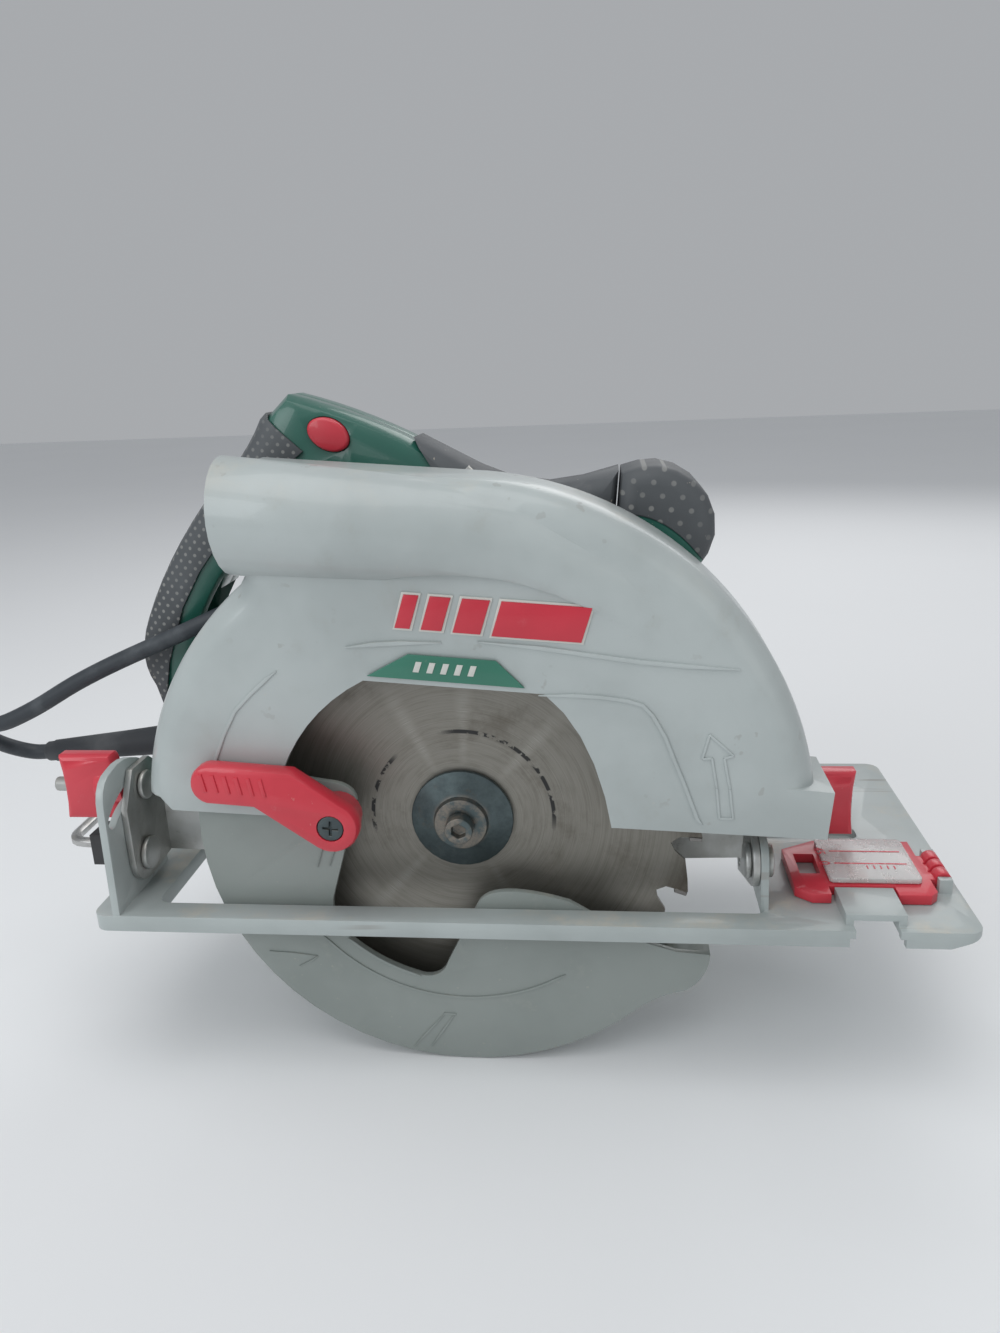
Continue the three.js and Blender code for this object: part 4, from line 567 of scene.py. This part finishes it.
zinc = plated("zinc_plating", (0.55, 0.56, 0.55), (0.42, 0.42, 0.40), 0.42)
bright = plated("ground_steel", (0.52, 0.52, 0.51), (0.40, 0.39, 0.38), 0.28, 0.95)
dressed("tilt_frame", zinc, 0.0005)
for node in ["rear_bevel_rivet", "front_bevel_rivet"]:
    dressed(node, zinc, 0.0006, 30)
dressed("key_clip", moulding, 0.0007)
dressed("hex_key", bright, 0.0003, 50)
for node in ["rear_wing_bolt", "front_wing_bolt"]:
    dressed(node, zinc, 0.0005, 35)
for node in ["rear_wing_knob", "front_wing_knob"]:
    dressed(node, red, 0.0012, 35)


# ---- Depth stop --------------------------------------------------------------------------------
# A plated quadrant with a curved slot stands on the bevel frame; a bolt on the guard runs in it,
# and a red lever behind the guard clamps it.

dressed("depth_quadrant", zinc, 0.0004)
for node in ["depth_pivot_pin", "depth_clamp_bolt"]:
    dressed(node, zinc, 0.0004, 35)
dressed("depth_lever", red, 0.0008)


# ---- Upper guard -------------------------------------------------------------------------------
# A die casting in the same grey enamel, screwed to the gear housing. Its face carries raised ribs,
# an arrow for the blade's direction, a red emblem of plain bars and a green label over the arch.

guard_enamel = enamel("guard_enamel", (0.46, 0.505, 0.50), (0.39, 0.43, 0.425), 0.4, 0.35)
dressed("upper_guard", guard_enamel, 0.0009, 40, smooth=46)
FACE = -20.0


def rib(points, width, height, surface=FACE, taper=False):
    """A raised rib along points of the face: an edge run widened, lifted and rounded."""
    mesh = bmesh.new()
    chain = [mesh.verts.new((x, surface + 0.3, z)) for x, z in points]
    edges = [mesh.edges.new(pair) for pair in zip(chain, chain[1:])]
    widened = bmesh.ops.extrude_edge_only(mesh, edges=edges)
    twins = [v for v in widened["geom"] if isinstance(v, bmesh.types.BMVert)]
    for i, (near, far) in enumerate(zip(chain, twins)):
        before = Vector((*points[max(i - 1, 0)], 0))
        after = Vector((*points[min(i + 1, len(points) - 1)], 0))
        side = (after - before).normalized()
        share = 0.5
        if taper and i in (0, len(points) - 1):
            share = 0.08
        offset = Vector((-side.y, 0, side.x)) * width * share
        near.co -= offset
        far.co += offset
    raised = bmesh.ops.extrude_face_region(mesh, geom=mesh.faces[:])
    top = [v for v in raised["geom"] if isinstance(v, bmesh.types.BMVert)]
    bmesh.ops.translate(mesh, vec=(0, -height - 0.3, 0), verts=top)
    bmesh.ops.recalc_face_normals(mesh, faces=mesh.faces)
    edge = [e for e in mesh.edges if e.calc_face_angle(0) > 1 and all(v in top for v in e.verts)]
    bmesh.ops.bevel(mesh, geom=edge, offset=min(width * 0.3, height * 0.6), affect="EDGES",
                    segments=2, profile=0.5, material=-1, clamp_overlap=True)
    return mesh


def arc(radius, start, end, steps):
    """Points of an arc about the blade's axis, between two angles in degrees."""
    return [(radius * math.cos(math.radians(start + (end - start) * i / steps)),
             radius * math.sin(math.radians(start + (end - start) * i / steps)))
            for i in range(steps + 1)]


ribs = [
    rib([(-43, 73.2), (-33, 75), (-23, 76.3), (-8, 77.6)], 1.6, 0.9, taper=True),
    rib([(5, 78.9), (27, 78.3), (45, 77.1), (63, 75.9), (80, 75.6), (98, 75.7)], 1.5, 0.8,
        taper=True),
    rib([(28, 60.4), (40, 61.4), (50, 61.6), (60, 61), (65.5, 59.8), (69.5, 56), (74.5, 48.5),
         (79, 39), (83, 31), (86, 24.4), (89.4, 17), (91.6, 14.9)], 1.3, 0.7, taper=True),
    rib([(-69, 62), (-73.5, 58), (-79.3, 52), (-85.3, 45), (-90, 35), (-93.7, 24.5), (-94.6, 14)],
        1.3, 0.6, taper=True),
]
placed("guard_face_ribs", gathered(ribs), guard_enamel, "saw_head", HEAD)


def raised(outline, depth, corner):
    """A flat raised shape with softened edges from its outline in the face's plane."""
    mesh = bmesh.new()
    face = mesh.faces.new([mesh.verts.new((x, FACE + 0.3, z)) for x, z in outline])
    lifted = bmesh.ops.extrude_face_region(mesh, geom=[face])
    top = [v for v in lifted["geom"] if isinstance(v, bmesh.types.BMVert)]
    bmesh.ops.translate(mesh, vec=(0, -depth - 0.3, 0), verts=top)
    bmesh.ops.recalc_face_normals(mesh, faces=mesh.faces)
    edge = [e for e in mesh.edges if all(v in top for v in e.verts)]
    bmesh.ops.bevel(mesh, geom=edge, offset=corner, affect="EDGES", segments=2, profile=0.5,
                    material=-1, clamp_overlap=True)
    return mesh


arrow_outline = [(97.3, 18), (102.2, 18.4), (99.8, 30), (96.4, 42), (99.6, 43.2), (90.2, 50.6),
                 (88.6, 41), (92, 41.6), (95, 30), (97.3, 18)]
arrow = gathered([rib([start, end], 0.9, 0.6)
                  for start, end in zip(arrow_outline, arrow_outline[1:])])
placed("turning_arrow", arrow, guard_enamel, "saw_head", HEAD)

# The emblem: four slanted bars that grow to the front, over a pale border.
emblem_red = moulded("emblem_red", (0.62, 0.025, 0.05), (0.52, 0.02, 0.04), 0.4, 0.15, 0.3)
emblem_pale = moulded("emblem_border", (0.66, 0.66, 0.62), (0.6, 0.6, 0.56), 0.5, 0.2)


LEAN = 3.0


def slanted(x0, x1, z0, z1, grow=0.0):
    """The outline of a bar that leans forward at its top."""
    return [(x0 - grow, z0 - grow), (x1 + grow, z0 - grow), (x1 + LEAN + grow, z1 + grow),
            (x0 + LEAN - grow, z1 + grow)]


bars = [(-25, -19.5, 82, 94.5), (-15.5, -8, 82, 94.5), (-4, 6, 81.8, 94.5), (10, 42, 81.5, 94.5)]
placed("emblem_bars", gathered(
    [raised(slanted(*bar), 1.25, corner=0.35) for bar in bars]), emblem_red, "saw_head",
    HEAD)
placed("emblem_border", gathered(
    [raised(slanted(*bar, grow=0.8), 0.55, corner=0.2) for bar in bars]), emblem_pale,
    "saw_head", HEAD)

badge_green = moulded("badge_green", (0.035, 0.20, 0.135), (0.03, 0.165, 0.11), 0.38, 0.2, 0.3)
dressed("guard_badge", badge_green, 0.0002)
placed("badge_lines", gathered(
    [raised([(x, 66), (x + 2.2, 66), (x + 3.3, 70), (x + 1.1, 70)], 1.35, corner=0.1)
     for x in (-18, -13, -8, -3, 2)]), emblem_pale, "saw_head", HEAD)


# ---- Lower guard -------------------------------------------------------------------------------
# A grey casting that swings round the blade, with a stepped ridge, wedge marks near its rim and
# a red lever held by one cross-head screw.

swing_enamel = enamel("swing_guard_enamel", (0.27, 0.30, 0.285), (0.22, 0.25, 0.235), 0.4, 0.45)
dressed("lower_guard", swing_enamel, 0.0007, 40)
NEAR = -15.5
ridges = [
    rib(arc(74, -136, -52, 26), 1.0, 0.6, NEAR, taper=True),
    rib([(-76.2, -61.3), (-66, -61.3), (-55.9, -61.3)], 0.9, 0.5, NEAR, taper=True),
    rib([(-63.6, -67), (-58, -63.6), (-55.9, -61.3)], 0.9, 0.5, NEAR, taper=True),
    rib([(-2.6, -83), (-9, -92), (-14.8, -100.4)], 0.9, 0.5, NEAR, taper=True),
    rib([(1.6, -82.5), (-3, -91), (-7.6, -99.5)], 0.9, 0.5, NEAR, taper=True),
    rib([(-3, -82.8), (2, -82.5)], 0.9, 0.5, NEAR),
    rib([(-52.6, -8.4), (-55.5, -20.2)], 0.9, 0.7, NEAR, taper=True),
    rib([(-47.6, -8.7), (-50.7, -19.3)], 0.9, 0.7, NEAR, taper=True),
    rib([(-52.6, -12.5), (-48.6, -12.5)], 1.0, 0.7, NEAR),
    rib(arc(66.9, -130, -101, 12), 1.1, 0.7, NEAR, taper=True),
]
placed("lower_guard_relief", gathered(ridges), swing_enamel,
       "lower_guard_body", HEAD)
dressed("guard_lever", red, 0.0012, 35)
LEVER_FACE = -30.5
grips = [rib([(-96 + 4.6 * i, 22.6), (-94.2 + 4.6 * i, 15.5)], 1.5, 0.55, LEVER_FACE)
         for i in range(6)]
placed("guard_lever_ribs", gathered(grips), red, "lower_guard_body", HEAD)
blackened = plated("blackened_steel", (0.10, 0.125, 0.13), (0.07, 0.085, 0.09), 0.42, 0.8)
dressed("guard_lever_screw", blackened, 0.0003, 35)
dressed("guard_return_spring", bright, 0.0003)


# ---- Blade, flanges and bolt -------------------------------------------------------------------
# A 190 mm blade, ground in circles and browned with use, with brazed carbide tips. It is clamped
# between two blackened flanges by a socket-head bolt.

blade_steel = Finish("blade_steel", (0.24, 0.225, 0.205), 0.34, 0.9)
bx, _, bz = blade_steel.parts(blade_steel.head_place())
ray = (bx * bx + bz * bz).power(0.5)
turn = blade_steel.math("ARCTAN2", bz, bx)
rings = blade_steel.node("ShaderNodeTexNoise", {"noise_dimensions": "1D"},
                         {"W": ray, "Scale": 2.2, "Detail": 5.0, "Roughness": 0.7})
arc_noise = blade_steel.node("ShaderNodeTexNoise", {"noise_dimensions": "2D"}, {
    "Vector": blade_steel.node("ShaderNodeCombineXYZ", inputs={0: ray * 0.25, 1: turn}),
    "Scale": 2.0, "Detail": 4.0, "Roughness": 0.65})
stain = blade_steel.noise(26, 6, 0.7)
colour = blade_steel.mixed(rings.step(0.3, 0.75), (0.285, 0.275, 0.245), (0.235, 0.222, 0.195))
colour = blade_steel.mixed(arc_noise.step(0.42, 0.75) * 0.5, colour, (0.18, 0.168, 0.142))
colour = blade_steel.mixed(stain.step(0.55, 0.72) * 0.45, colour, (0.105, 0.088, 0.066))
# Painted highlights: pale radial streaks at five angles across the ground rings stand in for the
# blade's sheen.
painted_highlight_streaks = 0.0
for degrees in (122, 92, 52, -58, -128):
    offset = abs(turn - math.radians(degrees))
    painted_highlight_streaks = painted_highlight_streaks + offset.step(0.10, 0.0) * ray.step(16, 34) * ray.step(74, 42)
colour = blade_steel.mixed(painted_highlight_streaks * 0.5 * rings.step(0.35, 0.7), colour, (0.50, 0.49, 0.45))
broken = blade_steel.noise(260, 3, 0.6).step(0.44, 0.52)
facing = (turn + 0.67).sine().step(0.52, 0.72).most((turn - 1.35).sine().step(0.86, 0.93))
print_ring = abs(ray - 36.5).step(1.0, 0.6) * broken * facing
colour = blade_steel.mixed(print_ring, colour, (0.02, 0.02, 0.02))
rim_dirt = ray.step(80, 94) * stain.step(0.35, 0.6)
colour = blade_steel.mixed(rim_dirt * 0.7, colour, (0.07, 0.055, 0.04))
blade_steel.set("Base Color", colour)
blade_steel.set("Roughness", 0.38 + rings * 0.12 + stain.step(0.5, 0.8) * 0.2)
blade_steel.set("Metallic", 0.80 - stain.step(0.55, 0.75) * 0.3 - print_ring * 0.6)
blade_steel.bump(rings, 0.05, 0.0002)
dressed("saw_blade", blade_steel, 0.0)

TEETH, BLADE_R = 24, 95.0
tip = slab(BLADE_R - 5.2, BLADE_R - 0.1, -1.3, 1.3, -1.9, -0.1)
bmesh.ops.bevel(tip, geom=tip.edges[:], offset=0.25, affect="EDGES", segments=1, profile=0.5,
                material=-1)
bmesh.ops.spin(tip, geom=tip.verts[:] + tip.edges[:] + tip.faces[:], cent=(0, 0, 0),
               axis=(0, -1, 0), dvec=(0, 0, 0), angle=2 * math.pi * (TEETH - 1) / TEETH,
               steps=TEETH - 1, use_duplicate=True, use_merge=False)
carbide = plated("carbide", (0.30, 0.29, 0.28), (0.2, 0.19, 0.18), 0.38, 0.7)
placed("carbide_tips", tip, carbide, "spindle_body", HEAD)

flange_steel = Finish("flange_steel", (0.085, 0.11, 0.115), 0.4, 0.75)
fx, _, fz = flange_steel.parts(flange_steel.head_place())
flange_ray = (fx * fx + fz * fz).power(0.5)
flange_noise = flange_steel.noise(110, 6, 0.75)
scuffed = flange_ray.step(12.5, 9.5) * flange_noise.step(0.40, 0.58)
flange_colour = flange_steel.mixed(flange_noise.step(0.35, 0.7), (0.10, 0.13, 0.135),
                                   (0.065, 0.085, 0.09))
flange_colour = flange_steel.mixed(scuffed, flange_colour, (0.24, 0.215, 0.185))
flange_colour = flange_steel.mixed(flange_steel.noise(60, 5, 0.7).step(0.6, 0.72) * 0.5,
                                   flange_colour, (0.13, 0.10, 0.07))
flange_steel.set("Base Color", flange_colour)
flange_steel.set("Roughness", 0.36 + flange_noise * 0.2)
flange_steel.bump(flange_noise, 0.2, 0.0003)
for node in ["outer_flange", "inner_flange", "blade_bolt"]:
    dressed(node, flange_steel, 0.0004, 28)


# ---- Spindle, gears, rotor and stator ----------------------------------------------------------
# The drive inside the castings: ground shafts and gears, laminated iron, a copper commutator, a
# moulded fan and carbon brushes.

iron = plated("laminated_iron", (0.16, 0.16, 0.165), (0.11, 0.105, 0.1), 0.5, 0.8)
copper = plated("commutator_copper", (0.50, 0.20, 0.09), (0.38, 0.14, 0.06), 0.32, 0.95)
carbon = moulded("carbon", (0.03, 0.03, 0.032), (0.02, 0.02, 0.021), 0.65, 0.1, 0.0)
for node in ["spindle", "spindle_gear", "spindle_bearing", "rotor_shaft", "rotor_bearing_front",
             "rotor_bearing_rear"]:
    dressed(node, bright, 0.0002)
for node in ["rotor_core", "stator"]:
    dressed(node, iron, 0.0003)
dressed("commutator", copper, 0.0002)
dressed("motor_fan", moulding, 0.0003)
for node in ["carbon_brush_rear", "carbon_brush_front"]:
    dressed(node, carbon, 0.0002)


# ---- Gear and motor housings -------------------------------------------------------------------
# The gear housing is a bare aluminium casting. The motor sits in a green moulded barrel that a
# black ventilated cap closes, with screw-in brush caps at its sides.

alloy = Finish("cast_aluminium", (0.48, 0.49, 0.50), 0.5, 0.85)
alloy_noise = alloy.noise(260, 4, 0.65)
alloy.set("Base Color", alloy.mixed(alloy_noise.step(0.35, 0.7), (0.50, 0.51, 0.52),
                                    (0.36, 0.37, 0.37)))
alloy.set("Roughness", 0.42 + alloy_noise * 0.2)
alloy.bump(alloy_noise, 0.35, 0.0004)
dressed("gear_housing", alloy, 0.0005)
green = moulded("green_moulding", (0.022, 0.135, 0.098), (0.017, 0.108, 0.08), 0.32, 0.16,
                0.4)
dressed("motor_housing", green, 0.0009, 40)
dressed("motor_end_cap", moulding, 0.0005, 40)
for node in ["brush_cap_rear", "brush_cap_front", "spindle_lock_button"]:
    dressed(node, moulding, 0.0005, 40)


# ---- Handle, grips and controls ----------------------------------------------------------------
# Two green shells screwed together, with grey soft skins moulded over them. The soft skins are
# stippled with small round dimples that hold pale dust.

ALL_OVER, NOWHERE = -1000.0, 400.0          # heights in mm that a skin's dimples start above


def soft_skin(name, pitch, size, above, inlay=None):
    """Soft-touch rubber with staggered dimples, spaced and sized in mm, above a given height.

    Where the inlay's field is below 0, the green moulding under the skin shows."""
    skin = Finish(name, (0.085, 0.095, 0.11), 0.62)
    x, _, z = skin.parts(skin.head_place())
    dots = 0.0
    for shift in (0.0, 0.5):
        u = (skin.math("FRACT", x / pitch + shift) - 0.5) * pitch
        v = (skin.math("FRACT", z / (pitch * 1.3) + shift) - 0.5) * (pitch * 1.3)
        dots = (u * u + v * v).power(0.5).step(size, size * 0.6) + dots
    dots = dots * z.step(above - 1, above + 1)
    cloud = skin.noise(22, 4, 0.6)
    colour = skin.mixed(cloud.step(0.35, 0.7), (0.085, 0.093, 0.10), (0.066, 0.072, 0.078))
    colour = skin.mixed(dots * 0.7 * cloud.step(0.25, 0.6), colour, (0.30, 0.30, 0.285))
    rubbed = skin.noise(60, 5, 0.7).step(0.58, 0.8)
    colour = skin.mixed(rubbed * 0.4, colour, (0.15, 0.155, 0.16))
    dust = skin.noise(300, 2, 0.6).step(0.70, 0.75)
    colour = skin.mixed(dust * 0.5, colour, DUST)
    rough = 0.52 + cloud * 0.15
    if inlay:
        edge = inlay(x, z)
        skinned = edge.step(-0.2, 0.2)
        dots = dots * skinned
        base = skin.mixed(cloud.step(0.3, 0.75), (0.02, 0.125, 0.092), (0.016, 0.10, 0.075))
        base = skin.mixed(dust * 0.5, base, DUST)
        colour = skin.mixed(skinned, base, colour)
        rough = rough * skinned + (1 - skinned) * 0.34
        skin.bump(edge.step(-0.5, 0.5), 0.8, 0.0006)
    skin.set("Base Color", colour)
    skin.set("Roughness", rough)
    skin.bump(dots, -0.7, 0.0006)
    skin.bump(skin.noise(1400, 2), 0.15, 0.0002)
    return skin


for node in ["handle_shell_right", "handle_shell_left"]:
    dressed(node, green, 0.0009, 40, smooth=50)
dressed("rear_grip", soft_skin("rear_skin", 4.2, 0.85, ALL_OVER), 0.0004, 50, smooth=50)
dressed("top_grip", soft_skin("top_skin", 4.2, 0.85, NOWHERE), 0.0004, 50, smooth=50)
knob_skin = soft_skin("knob_skin", 7.6, 1.25, 100.0,
                      lambda x, z: z - 120.5 + (x - 58) * (x - 58) * 0.02)
dressed("front_knob", knob_skin, 0.0003, 60, smooth=80)
for node in ["handle_screw_1", "handle_screw_2"]:
    dressed(node, blackened, 0.0004, 35)
dressed("trigger", moulding, 0.0009, 35)
dressed("switch_body", moulding, 0.0005)
dressed("lock_off_button", red, 0.0012, 35)
